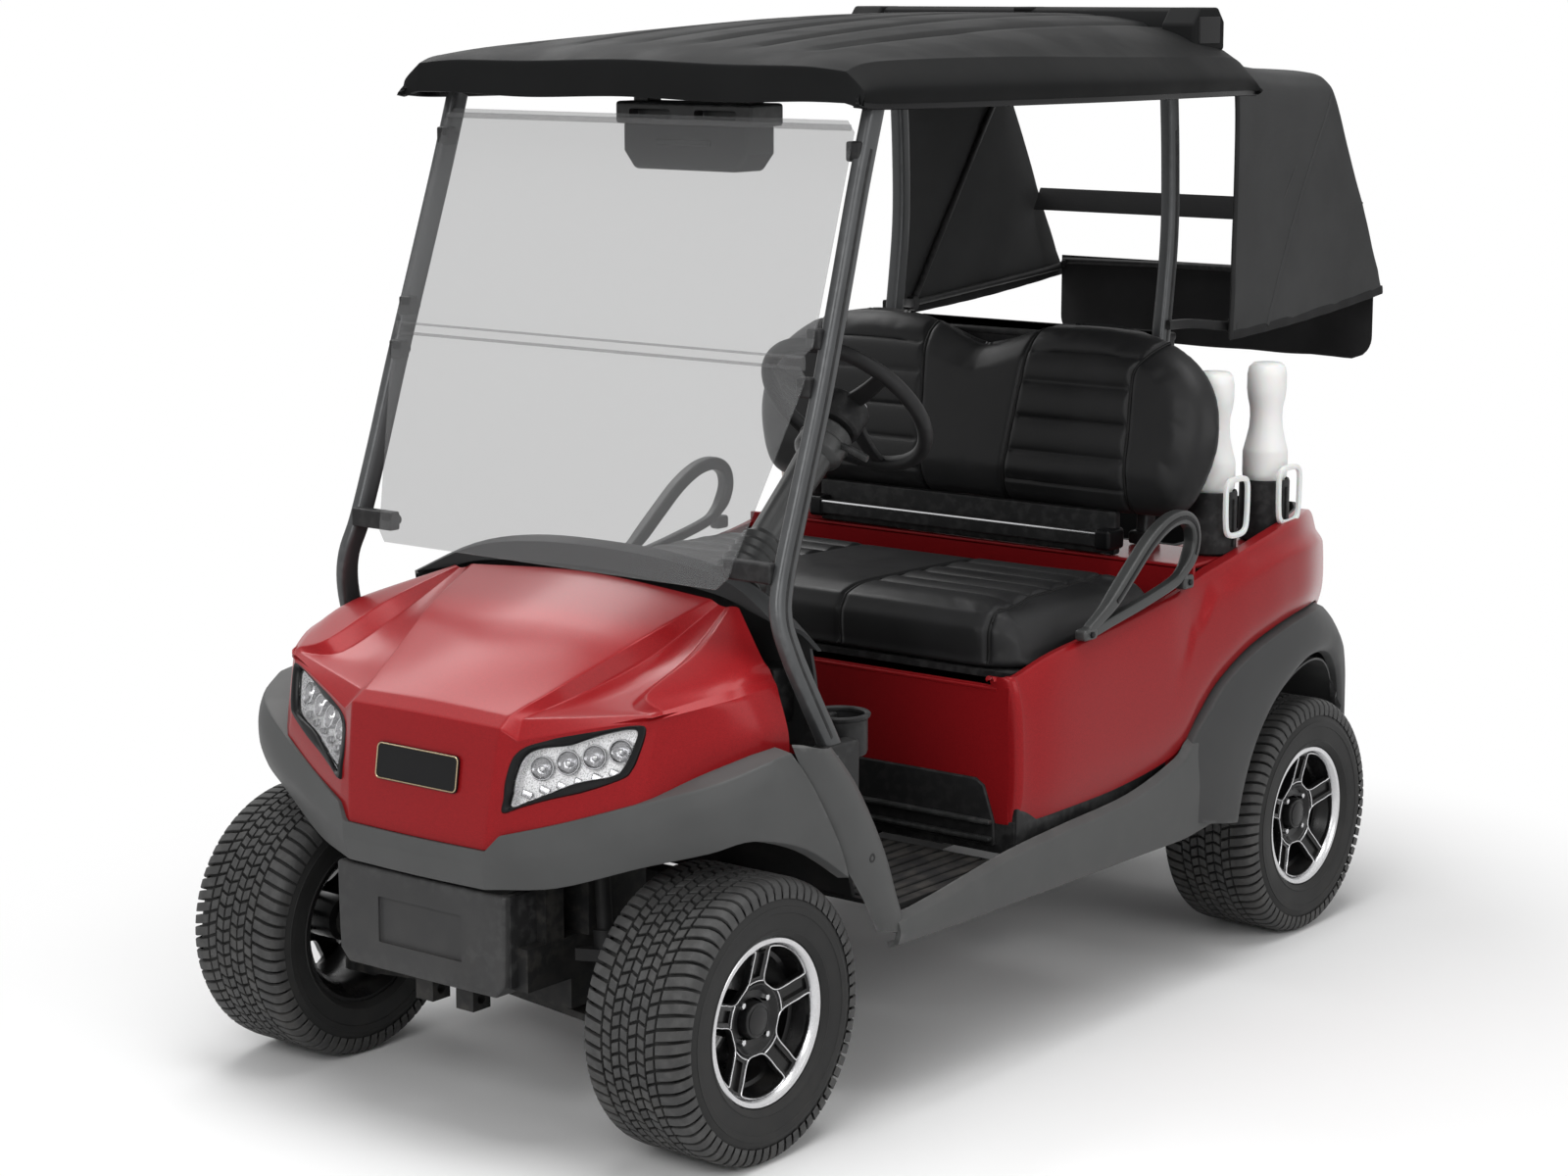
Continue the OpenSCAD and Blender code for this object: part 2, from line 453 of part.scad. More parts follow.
// Roof and its supports: heights above the foot of the glass stretch with the crown
glass_foot = 884;
path_top = 1633;
strut_head = canopy_top - 135;
stretch = (strut_head - glass_foot) / (path_top - glass_foot);
function up(z) = z < glass_foot ? z : glass_foot + (z - glass_foot) * stretch;
function raised(path) = [for (q = path) [q[0], q[1], up(q[2])]];
strut_path = [[-370, 455, path_top], [-327, 456, 1504], [-276, 461, 1350], [-218, 466, 1179], [-166, 466, 1030], [-123, 468, 912], [-103, 478, 850], [-112, 492, 790], [-142, 505, 716], [-182, 514, 636], [-214, 520, 566]];
rear_path = concat(raised([[-1478, 314, 1634.8], [-1488, 314, 1500], [-1490, 314, 1350], [-1470, 314, 1180], [-1440, 314, 980]]), [[-1424, 314, well_top + gap + 1.4]]);
clip_at = [[1560, 434], [1272, 434], [1198, 434], [916, 366]];
glass_slope = 0.352;
glass_lean = atan(glass_slope / stretch);
function glass_x(z) = -327 + 26 + (1504 - z) * glass_slope;
module front_struts() color([0.2, 0.2, 0.21]) from_axle() both() {
  sweep(smooth(raised(strut_path), 2), oblong(20, 12, 0.6, 12));
  for (c = clip_at) translate([glass_x(c[0]), 0, up(c[0])]) rotate([0, -glass_lean, 0]) box([-24, c[1], -16], [-gap, 462, 16]);
}
module rear_struts() color([0.2, 0.2, 0.21]) from_axle() both() sweep(smooth(rear_path, 2), oblong(17, 14, 0.6, 12));
module pane(z0, z1, w0, w1) translate([glass_x(z0), 0, up(z0)]) rotate([0, -glass_lean, 0]) rotate([90, 0, 90])
  linear_extrude(sheet_t) let (h = (up(z1) - up(z0)) / cos(glass_lean))
  polygon([[-w0 + 14, 0], [w0 - 14, 0], [w0, 16], [w1, h - 16], [w1 - 14, h], [-w1 + 14, h], [-w1, h - 16], [-w0, 16]]);
module windshield_upper() color([0.6, 0.65, 0.68, 0.35]) from_axle() pane(1242, 1590, 454, 446);
module windshield_lower() color([0.6, 0.65, 0.68, 0.35]) from_axle() pane(glass_foot, 1230, 384, 454);

// Rows of the canopy: station, share of the half width, drop from the crown to the lip, the shoulder and the top
canopy_rows = [[-276, 0.974, 134, 130, 129], [-284, 0.974, 128, 82, 70], [-330, 0.98, 132, 70, 54],
  [-440, 0.992, 134, 66, 38], [-720, 1, 136, 66, 16], [-1026, 0.992, 138, 72, 2], [-1360, 0.934, 140, 78, 0],
  [-1530, 0.885, 142, 84, 12], [-1572, 0.88, 144, 108, 78], [-1582, 0.878, 146, 136, 128]];
beam_rise = 10;
module canopy() color([0.06, 0.06, 0.065]) from_axle() {
  panel(fine([for (s = canopy_rows) let (w = s[1] * canopy_half, lip = canopy_top - s[2], side = canopy_top - s[3], c = canopy_top - s[4])
    whole([[s[0], 0, c], [s[0], 0.42 * w, c - 5], [s[0], 0.76 * w, 0.55 * c + 0.45 * side], [s[0], 0.93 * w, side],
      [s[0], w, 0.5 * (lip + side) - 6], [s[0], 0.992 * w, lip]])], 2, 2),
    12, [-900, 0, canopy_top - 568]);
  both() {
    box([-404, 432, canopy_top - 128 + gap], [-340, 480, canopy_top - 74]);
    box([-1504, 294, canopy_top - 132 + gap], [-1452, 334, canopy_top - 16]);
    box([-1530, 330, canopy_top - 68], [-1420, 400, canopy_top + beam_rise]);
  }
  box([-1506, -340, canopy_top - 46], [-1444, 340, canopy_top + beam_rise]);
}
// Console hung under the canopy
console_z = canopy_top - 146;
console_h = 92;
module roof_console() color([0.05, 0.05, 0.055]) from_axle() {
  box([-520, -150, console_z - console_h], [-440, 150, console_z]);
  for (s = [-1, 1]) box([-500, s * 110 - 12, console_z - 2], [-460, s * 110 + 12, canopy_top - 50.6]);
}

// Bag cover: half way round from the middle of the top to the hem
cover_top = 1686; cover_hem = 1155;
cover_rows = [[0, cover_top + 4, 1662, -1950], [0.5, cover_top + 2, 1659, -1950], [0.84, cover_top - 4, 1652, -1949], [0.96, cover_top - 24, 1634, -1958], [1, cover_top - 80, 1580, -1987], [1.005, 1400, 1390, -2091], [1, cover_hem, 1200, -rear_reach]];
module bag_cover() color([0.13, 0.13, 0.14]) from_axle()
  panel(fine(turned([for (t = [0:0.25:1]) whole([for (s = cover_rows) [-1590 * (1 - t) + s[3] * t, s[0] * cover_half, s[1] * (1 - t) + s[2] * t - 6 * sin(180 * t)]])]), 2, 1), 4, [-1800, 0, 1200]);
function rear_edge(z) = -1949 - (1651 - z) * 0.5455;
module cover_curtain() color([0.07, 0.07, 0.075]) from_axle() {
  box([-2181, -380, 1064], [-2176, 380, 1240]);
  bar([rear_edge(1340) + 14, 0, 1340], [rear_edge(1392) + 14, 0, 1392], 2 * cover_half - 6.2, 4);
}
bow_y = cover_half - 13.6;
pivot = [-1622, bow_y, 1176];
module cover_frame() color([0.15, 0.15, 0.16]) from_axle() {
  for (e = [[-1934, 1616], [-2166, 1215]]) sweep(smooth([pivot, [e[0] * 0.5 + pivot[0] * 0.5, bow_y, e[1] * 0.5 + pivot[2] * 0.5], [e[0] + 30, bow_y, e[1] - (e[1] > 1500 ? 58 : 4)], [e[0], 338, e[1]], [e[0], 0, e[1] + (e[1] > 1500 ? 6 : 0)],
    [e[0], -338, e[1]], [e[0] + 30, -bow_y, e[1] - (e[1] > 1500 ? 58 : 4)], [e[0] * 0.5 + pivot[0] * 0.5, -bow_y, e[1] * 0.5 + pivot[2] * 0.5], flip_y(pivot)], 3), round_sec(7, 7, 8), [0.3, 0, 1]);
  both() bar([-1462, 332.6, 1188], pivot + [-12, 0, -2], 8, 30);
}

// Bottles and baskets
bottle_r = 40;
bottle_at = [[-1412, 466], [-1606, 466]];
module sand_bottles() color([0.85, 0.85, 0.84]) from_axle() for (b = bottle_at) translate([b[0], b[1], 822 + gap]) {
  cylinder(h = 210, r = bottle_r);
  translate([0, 0, 209]) cylinder(h = 50, r1 = bottle_r, r2 = 22);
  translate([0, 0, 258]) cylinder(h = 36, r = 22);
}
module rear_basket() color([0.07, 0.07, 0.075]) from_axle() {
  for (b = bottle_at) difference() {
    translate([b[0], b[1], well_top + gap]) cylinder(h = 120, r = bottle_r + 8);
    translate([b[0], b[1], 822]) cylinder(h = 80, r = bottle_r + gap);
  }
  difference() {
    box([-1548, -299.8, 940], [-1405, 299.8, 1165]);
    box([-1540, -291, 948], [-1413, 291, 1170]);
  }
}

// Draw one sub-part or all
frame();
front_suspension();
rear_suspension();
rear_axle();
battery_pack();
front_bumper();
front_shield();
front_cowl();
headlamps();
dash();
steering_column();
pedals();
floor_pan();
sills();
seat_box_front();
kick_plate();
body_sides();
rear_deck();
bag_well();
rear_bumper();
tail_lamps();
seat_back();
seat_back_frame();
armrests();
front_struts();
rear_struts();
windshield_upper();
windshield_lower();
canopy();
roof_console();
bag_cover();
cover_curtain();
cover_frame();
sand_bottles();
rear_basket();
seat_cushion();
seat_board();
steering_wheel();
steering_rack();
knuckle_left();
knuckle_right();
rim_fl();
rim_fr();
rim_rl();
rim_rr();
tyre_fl();
tyre_fr();
tyre_rl();
tyre_rr();
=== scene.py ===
import math

import bmesh
import bpy
from mathutils import Matrix, Vector
from mathutils.bvhtree import BVHTree


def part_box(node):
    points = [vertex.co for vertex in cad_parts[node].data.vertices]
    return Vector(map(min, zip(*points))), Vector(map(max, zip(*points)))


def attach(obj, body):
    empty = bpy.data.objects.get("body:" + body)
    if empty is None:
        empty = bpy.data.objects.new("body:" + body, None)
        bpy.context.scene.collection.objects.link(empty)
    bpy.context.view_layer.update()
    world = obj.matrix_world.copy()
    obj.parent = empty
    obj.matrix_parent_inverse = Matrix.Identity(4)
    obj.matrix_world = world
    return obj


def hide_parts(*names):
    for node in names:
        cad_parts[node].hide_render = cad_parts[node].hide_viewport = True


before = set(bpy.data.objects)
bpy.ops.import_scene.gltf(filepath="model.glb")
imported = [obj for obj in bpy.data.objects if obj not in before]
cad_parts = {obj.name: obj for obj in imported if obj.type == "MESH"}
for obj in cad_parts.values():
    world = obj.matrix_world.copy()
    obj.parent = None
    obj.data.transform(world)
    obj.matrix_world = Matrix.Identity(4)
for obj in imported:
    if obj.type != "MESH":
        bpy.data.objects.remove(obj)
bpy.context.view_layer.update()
scene = bpy.context.scene
scene.view_settings.view_transform = "Standard"


def hub(tyre):
    low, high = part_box(tyre)
    return (low + high) * 500


# Places are millimetres ahead of the front axle, to the left, and above the ground
axle_x = hub("tyre_fl").x
tyre_r = hub("tyre_fl").z
front_half_track = hub("tyre_fl").y
rear_half_track = hub("tyre_rl").y
x_rear = hub("tyre_rl").x - axle_x
SIDES = (-1, 1)


# Lines
def spline(p0, p1, p2, p3, t):
    return 0.5 * (2 * p1 + (p2 - p0) * t + (2 * p0 - 5 * p1 + 4 * p2 - p3) * t ** 2
                  + (3 * p1 - p0 - 3 * p2 + p3) * t ** 3)


def smooth(points, per=6, breaks=(), soft=4.0):
    """A smooth line through the points, with a small rounded corner at each break."""
    points = [Vector(p) for p in points]
    ends = [0, *sorted(breaks), len(points) - 1]
    line, corners = [], []
    for first, last in zip(ends, ends[1:]):
        run = points[first:last + 1]
        if first:
            corners.append(len(line))
        for i in range(len(run) - 1):
            four = [run[min(max(i + k, 0), len(run) - 1)] for k in (-1, 0, 1, 2)]
            line += [spline(*four, step / per) for step in range(per)]
    line.append(points[-1])
    for at in reversed(corners):
        corner, before, after = line[at], line[at - 1] - line[at], line[at + 1] - line[at]
        before = before * min(0.45, soft / max(before.length, 1e-6))
        after = after * min(0.45, soft / max(after.length, 1e-6))
        line[at:at + 1] = [corner + before, corner + (before + after) / 4, corner + after]
    return line


def ring(points, per=5):
    """A smooth closed line through the points."""
    points = [Vector(p) for p in points]
    count = len(points)
    return [spline(*[points[(i + k) % count] for k in (-1, 0, 1, 2)], step / per)
            for i in range(count) for step in range(per)]


def between(value, table):
    """Reads a smooth value off a table of pairs."""
    if value <= table[0][0]:
        return table[0][1]
    for (a, va), (b, vb) in zip(table, table[1:]):
        if value <= b:
            t = (value - a) / (b - a)
            return va + (vb - va) * t * t * (3 - 2 * t)
    return table[-1][1]


def read_line(value, pairs):
    """Reads a value off a broken line of pairs."""
    for (a, va), (b, vb) in zip(pairs, pairs[1:]):
        if a <= value <= b:
            return va + (vb - va) * (value - a) / max(b - a, 1e-6)
    return pairs[-1][1] if value > pairs[-1][0] else pairs[0][1]


def clamped(value):
    return min(1, max(0, value))


def circle(r, height, count):
    turns = [2 * math.pi * k / count for k in range(count)]
    return [(r * math.cos(a), r * math.sin(a), height) for a in turns]


def mirror_point(p):
    return Vector((p[0], -p[1], p[2]))


def whole(row):
    return [mirror_point(p) for p in row[:0:-1]] + [Vector(p) for p in row]


def turned_over(rows):
    return [list(column) for column in zip(*rows)]


def oblong(wide, deep, power=0.5, count=20):
    """A rounded section, from an ellipse at power 1 towards a rectangle at power 0."""
    angles = [2 * math.pi * (i + 0.5) / count for i in range(count)]
    return [(wide * math.copysign(abs(math.cos(a)) ** power, math.cos(a)),
             deep * math.copysign(abs(math.sin(a)) ** power, math.sin(a))) for a in angles]


# Shapes: a list of points and a list of faces
def join(*shapes):
    points, faces = [], []
    for more, sides in shapes:
        faces += [[len(points) + i for i in side] for side in sides]
        points += [Vector(p) for p in more]
    return points, faces


def moved(shape, matrix):
    return [matrix @ Vector(p) for p in shape[0]], shape[1]


def both(shape):
    return join(shape, ([mirror_point(p) for p in shape[0]], [side[::-1] for side in shape[1]]))


def to_bmesh(shape):
    mesh = bmesh.new()
    corners = [mesh.verts.new(p) for p in shape[0]]
    for side in shape[1]:
        mesh.faces.new([corners[i] for i in side])
    mesh.normal_update()
    return mesh


def from_bmesh(mesh):
    mesh.verts.index_update()
    shape = [v.co.copy() for v in mesh.verts], [[v.index for v in f.verts] for f in mesh.faces]
    mesh.free()
    return shape


def rounded(shape, r, steps=2, angle=30):
    """Rounds every edge that is sharper than the angle."""
    mesh = to_bmesh(shape)
    bmesh.ops.recalc_face_normals(mesh, faces=mesh.faces)
    sharp = [e for e in mesh.edges if e.calc_face_angle(0) > math.radians(angle)]
    bmesh.ops.bevel(mesh, geom=sharp, offset=r, segments=steps, profile=0.5, affect="EDGES",
                    clamp_overlap=True)
    return from_bmesh(mesh)


def block(low, high, r=3, steps=2):
    corners = [(x, y, z) for x in (low[0], high[0]) for y in (low[1], high[1]) for z in (low[2], high[2])]
    sides = [(0, 1, 3, 2), (4, 6, 7, 5), (0, 4, 5, 1), (2, 3, 7, 6), (0, 2, 6, 4), (1, 5, 7, 3)]
    return rounded((corners, sides), r, steps)


PLANES = {"side": lambda a, b, c: (a, c, b),
          "front": lambda a, b, c: (c, a, b),
          "top": lambda a, b, c: (a, b, c)}


def prism(outline, low, high, plane, r=2, steps=2):
    """An outline drawn from the side, the front or the top, given depth and rounded edges."""
    count = len(outline)
    place = PLANES[plane]
    points = [place(a, b, depth) for depth in (low, high) for a, b in outline]
    walls = [[i, (i + 1) % count, count + (i + 1) % count, count + i] for i in range(count)]
    shape = points, walls + [list(range(count))[::-1], list(range(count, 2 * count))]
    return rounded(shape, r, steps, 40) if r else shape


def aim(axis):
    return Vector(axis).to_track_quat("Z", "Y").to_matrix().to_4x4()


def turned(profile, centre=(0, 0, 0), axis=(0, 0, 1), steps=48, loop=False):
    """Turns a profile of radius and height about an axis; its ends are closed flat, or joined as a loop."""
    points, rows = [], []
    for radius, height in profile:
        rows.append(list(range(len(points), len(points) + (steps if radius > 0 else 1))))
        points += [Vector((radius * math.cos(2 * math.pi * k / steps),
                           radius * math.sin(2 * math.pi * k / steps), height)) for k in range(len(rows[-1]))]
    faces = []
    for low, high in zip(rows, rows[1:] + rows[:1] if loop else rows[1:]):
        for k in range(steps):
            side = [low[k % len(low)], low[(k + 1) % len(low)], high[(k + 1) % len(high)],
                    high[k % len(high)]]
            faces.append(list(dict.fromkeys(side)))
    if not loop:
        faces += [end for end in (rows[0][::-1], rows[-1]) if len(end) > 1]
    return moved((points, faces), Matrix.Translation(centre) @ aim(axis))


def swept(path, section, side=(0, 1, 0), loop=False, sizes=None):
    """Carries a section along a path; its first measure lies along the side direction."""
    path, side = [Vector(p) for p in path], Vector(side)
    count, wide = len(path), len(section)
    points = []
    for i, p in enumerate(path):
        ahead = path[(i + 1) % count if loop else min(i + 1, count - 1)]
        behind = path[(i - 1) % count if loop else max(i - 1, 0)]
        tangent = (ahead - behind).normalized()
        across = (side - tangent * side.dot(tangent)).normalized()
        deep = tangent.cross(across)
        size = sizes[i] if sizes else 1
        points += [p + (across * a + deep * b) * size for a, b in section]
    faces = [[i * wide + k, i * wide + (k + 1) % wide, (i + 1) % count * wide + (k + 1) % wide,
              (i + 1) % count * wide + k] for i in range(count if loop else count - 1) for k in range(wide)]
    if not loop:
        faces += [list(range(wide))[::-1], list(range((count - 1) * wide, count * wide))]
    return points, faces


def rod(start, end, r, steps=16):
    start, end = Vector(start), Vector(end)
    length = (end - start).length
    ease = min(1.2, r / 3)
    return turned([(r - ease, 0), (r, ease), (r, length - ease), (r - ease, length)], start, end - start,
                  steps)


def surface(rows, per=(5, 5), row_breaks=(), column_breaks=(), soft=4.0):
    """A fine grid of points through the given rows."""
    wide = [smooth(row, per[1], column_breaks, soft) for row in rows]
    return turned_over([smooth(column, per[0], row_breaks, soft) for column in turned_over(wide)])


def skin(rows):
    """The faces of a grid of points."""
    wide = len(rows[0])
    faces = [[i * wide + k, i * wide + k + 1, (i + 1) * wide + k + 1, (i + 1) * wide + k]
             for i in range(len(rows) - 1) for k in range(wide - 1)]
    return [p for row in rows for p in row], faces


def shelled(shape, thick, inside):
    """Gives an open skin its thickness, on the side towards the inside point."""
    mesh = to_bmesh(shape)
    inside = Vector(inside)
    facing = sum((f.calc_center_median() - inside).dot(f.normal) * f.calc_area() for f in mesh.faces)
    way = -thick if facing > 0 else thick
    count = len(mesh.verts)
    mesh.verts.index_update()
    points = [v.co.copy() for v in mesh.verts]
    points += [v.co + v.normal * way * min(v.calc_shell_factor(), 1.5) for v in mesh.verts]
    faces = shape[1] + [[count + i for i in side[::-1]] for side in shape[1]]
    for edge in mesh.edges:
        if edge.is_boundary:
            a, b = [loop.vert.index for loop in (edge.link_loops[0], edge.link_loops[0].link_loop_next)]
            faces.append([b, a, count + a, count + b])
    mesh.free()
    return points, faces


def panel(rows, thick, inside, **how):
    return shelled(skin(surface(rows, **how)), thick, inside)


def with_modifiers(shape, *changes):
    """Runs Blender's modifiers on a shape; each change is a kind and its settings."""
    mesh = bpy.data.meshes.new("shaping")
    mesh.from_pydata([Vector(p) for p in shape[0]], [], shape[1])
    shaping = bpy.data.objects.new("shaping", mesh)
    scene.collection.objects.link(shaping)
    for kind, settings in changes:
        modifier = shaping.modifiers.new(kind, kind)
        for key, value in settings.items():
            setattr(modifier, key, value)
    result = shaping.evaluated_get(bpy.context.evaluated_depsgraph_get()).to_mesh()
    points = [v.co.copy() for v in result.vertices]
    faces = [list(side.vertices) for side in result.polygons]
    bpy.data.objects.remove(shaping)
    bpy.data.meshes.remove(mesh)
    return points, faces


def carved(shape, *cutters):
    """Takes closed shapes out of a closed shape."""
    tools = []
    for cutter in cutters:
        mesh = to_bmesh(cutter)
        bmesh.ops.recalc_face_normals(mesh, faces=mesh.faces)
        data = bpy.data.meshes.new("cutter")
        mesh.to_mesh(data)
        mesh.free()
        tools.append(bpy.data.objects.new("cutter", data))
        scene.collection.objects.link(tools[-1])
    base = to_bmesh(shape)
    bmesh.ops.recalc_face_normals(base, faces=base.faces)
    changes = [("BOOLEAN", {"object": tool, "operation": "DIFFERENCE", "solver": "EXACT"}) for tool in tools]
    result = with_modifiers(from_bmesh(base), *changes)
    for tool in tools:
        data = tool.data
        bpy.data.objects.remove(tool)
        bpy.data.meshes.remove(data)
    return result


class Piece:
    """One object of the scene, gathered from shapes that each have a finish."""

    def __init__(self, name, body="chassis"):
        self.name, self.body = name, body
        self.points, self.faces, self.marks, self.finishes = [], [], [], []

    def add(self, shape, finish):
        if finish not in self.finishes:
            self.finishes.append(finish)
        self.marks += [self.finishes.index(finish)] * len(shape[1])
        self.faces += [[len(self.points) + i for i in side] for side in shape[1]]
        self.points += [((p[0] + axle_x) / 1000, p[1] / 1000, p[2] / 1000) for p in shape[0]]
        return self

    def done(self, slot, *nodes, sharp=35):
        mesh = bpy.data.meshes.new(self.name)
        mesh.from_pydata(self.points, [], self.faces)
        mesh.polygons.foreach_set("material_index", self.marks)
        for finish in self.finishes:
            mesh.materials.append(finish)
        sides = bmesh.new()
        sides.from_mesh(mesh)
        bmesh.ops.recalc_face_normals(sides, faces=sides.faces)
        sides.to_mesh(mesh)
        sides.free()
        mesh.shade_smooth()
        mesh.set_sharp_from_angle(angle=math.radians(sharp))
        piece = bpy.data.objects.new(self.name, mesh)
        scene.collection.objects.link(piece)
        level = piece.modifiers.new("level_faces", "WEIGHTED_NORMAL")
        level.keep_sharp = True
        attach(piece, self.body)
        if nodes:
            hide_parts(*nodes)
        return piece


# Shader tools
def put(tree, kind, inputs=None, **settings):
    """Adds a node; an input is a value or another node's output."""
    node = tree.nodes.new("ShaderNode" + kind)
    for key, value in settings.items():
        setattr(node, key, value)
    for key, value in (inputs or {}).items():
        if isinstance(value, bpy.types.NodeSocket):
            tree.links.new(value, node.inputs[key])
        else:
            node.inputs[key].default_value = value
    return node


def number(tree, operation, first, second=0.0):
    return put(tree, "Math", {0: first, 1: second}, operation=operation).outputs[0]


def mix(tree, amount, first, second):
    return put(tree, "Mix", {0: amount, 6: first, 7: second}, data_type="RGBA").outputs[2]


def spread(tree, value, low, high, start=0.0, end=1.0):
    inputs = {"Value": value, "From Min": low, "From Max": high, "To Min": start, "To Max": end}
    return put(tree, "MapRange", inputs, interpolation_type="SMOOTHSTEP").outputs["Result"]


def effect(name, inputs, outputs, build):
    """A shader group with named number inputs and outputs."""
    group = bpy.data.node_groups.new(name, "ShaderNodeTree")
    for key, value in inputs.items():
        group.interface.new_socket(key, in_out="INPUT", socket_type="NodeSocketFloat").default_value = value
    for key in outputs:
        group.interface.new_socket(key, in_out="OUTPUT", socket_type="NodeSocketFloat")
    given, result = group.nodes.new("NodeGroupInput"), group.nodes.new("NodeGroupOutput")
    for key, value in build(group, given.outputs).items():
        group.links.new(value, result.inputs[key])
    return group


def place(tree):
    return put(tree, "TexCoord").outputs["Object"]


def build_moulded_grain(tree, given):
    """Fine spark-eroded texture of moulded plastic, with a slow drift in tone."""
    at = place(tree)
    fine = put(tree, "TexNoise", {"Vector": at, "Scale": given["Scale"], "Detail": 2.0}).outputs["Fac"]
    pits = put(tree, "TexVoronoi", {"Vector": at, "Scale": given["Scale"]}).outputs["Distance"]
    slow = put(tree, "TexNoise", {"Vector": at, "Scale": 7.0, "Detail": 4.0}).outputs["Fac"]
    return {"Height": number(tree, "ADD", fine, pits), "Tone": spread(tree, slow, 0.3, 0.7)}


def build_vinyl_grain(tree, given):
    """Small raised cells with creases between them, and soft wrinkles."""
    at = place(tree)
    cells = put(tree, "TexVoronoi", {"Vector": at, "Scale": given["Scale"]}, feature="DISTANCE_TO_EDGE")
    cell = spread(tree, cells.outputs["Distance"], 0.0, 0.25)
    wrinkle = put(tree, "TexNoise",
                  {"Vector": at, "Scale": 38.0, "Detail": 5.0, "Distortion": 0.8}).outputs["Fac"]
    slow = put(tree, "TexNoise", {"Vector": at, "Scale": 5.0, "Detail": 3.0}).outputs["Fac"]
    return {"Height": number(tree, "ADD", cell, number(tree, "MULTIPLY", wrinkle, 2.2)),
            "Tone": spread(tree, slow, 0.3, 0.7)}


def build_weave(tree, given):
    """Over and under threads of a coated canvas, read from the place alone."""
    parts = put(tree, "SeparateXYZ", {0: place(tree)}).outputs
    turns = number(tree, "MULTIPLY", given["Scale"], 2 * math.pi)
    waves = [number(tree, "SINE", number(tree, "MULTIPLY", parts[i], turns)) for i in range(3)]
    threads = number(tree, "ADD", number(tree, "MULTIPLY", waves[0], waves[2]),
                     number(tree, "MULTIPLY", waves[1], number(tree, "ADD", waves[0], waves[2])))
    slow = put(tree, "TexNoise", {"Vector": place(tree), "Scale": 9.0, "Detail": 6.0}).outputs["Fac"]
    return {"Height": threads, "Tone": spread(tree, slow, 0.3, 0.7)}


def build_flakes(tree, given):
    """Metal flakes in paint, and the faint ripple of a sprayed coat."""
    at = place(tree)
    flake = put(tree, "TexVoronoi", {"Vector": at, "Scale": given["Scale"]}).outputs["Color"]
    ripple = put(tree, "TexNoise", {"Vector": at, "Scale": 160.0, "Detail": 1.0}).outputs["Fac"]
    return {"Height": ripple, "Tone": put(tree, "SeparateColor", {0: flake}).outputs[0]}


def build_brushed(tree, given):
    """Fine turning marks round the wheel's axis."""
    parts = put(tree, "SeparateXYZ", {0: place(tree)}).outputs
    streak = put(tree, "TexNoise",
                 {"Vector": place(tree), "Scale": given["Scale"], "Detail": 3.0}).outputs["Fac"]
    line = number(tree, "SINE", number(tree, "MULTIPLY", parts[2], given["Scale"]))
    return {"Height": number(tree, "ADD", streak, number(tree, "MULTIPLY", line, 0.3)),
            "Tone": spread(tree, streak, 0.3, 0.7)}


def build_edge_mark(tree, given):
    """Lighter edges here and there: scuffed through, and on the armrests also a painted highlight of their
    bright edges.
    """
    edge = put(tree, "NewGeometry").outputs["Pointiness"]
    patch = put(tree, "TexNoise", {"Vector": place(tree), "Scale": 55.0, "Detail": 6.0}).outputs["Fac"]
    sharp_edges = spread(tree, edge, 0.515, 0.58)
    shown = number(tree, "MULTIPLY", sharp_edges, spread(tree, patch, 0.42, 0.66))
    return {"Mask": number(tree, "MULTIPLY", shown, given["Amount"])}


def build_dust(tree, given):
    """Pale dust on what faces up and on what is near the ground."""
    normal = put(tree, "SeparateXYZ", {0: put(tree, "NewGeometry").outputs["Normal"]}).outputs[2]
    height = put(tree, "SeparateXYZ", {0: put(tree, "NewGeometry").outputs["Position"]}).outputs[2]
    patch = put(tree, "TexNoise", {"Vector": place(tree), "Scale": 24.0, "Detail": 8.0}).outputs["Fac"]
    low = spread(tree, height, 0.55, 0.0)
    lying = number(tree, "ADD", number(tree, "MULTIPLY", spread(tree, normal, 0.3, 1.0), 0.5), low)
    return {"Mask": number(tree, "MULTIPLY", number(tree, "MULTIPLY", lying, spread(tree, patch, 0.35, 0.75)),
                           given["Amount"])}


GRAINS = {
    "moulded": effect("moulded_grain", {"Scale": 900.0}, ("Height", "Tone"), build_moulded_grain),
    "vinyl": effect("vinyl_grain", {"Scale": 520.0}, ("Height", "Tone"), build_vinyl_grain),
    "weave": effect("canvas_weave", {"Scale": 420.0}, ("Height", "Tone"), build_weave),
    "flakes": effect("paint_flakes", {"Scale": 1600.0}, ("Height", "Tone"), build_flakes),
    "brushed": effect("turning_marks", {"Scale": 700.0}, ("Height", "Tone"), build_brushed),
}
# Lighter edges: scuffs, and on the armrests a painted highlight too.
EDGE_WEAR_AND_HIGHLIGHT = effect("edge_wear_and_highlight", {"Amount": 0.5}, ("Mask",), build_edge_mark)
DUST = effect("road_dust", {"Amount": 0.3}, ("Mask",), build_dust)
DUST_COLOUR = (0.33, 0.3, 0.26, 1)


def use(tree, group, **inputs):
    node = tree.nodes.new("ShaderNodeGroup")
    node.node_tree = group
    for key, value in inputs.items():
        node.inputs[key].default_value = value
    return node.outputs


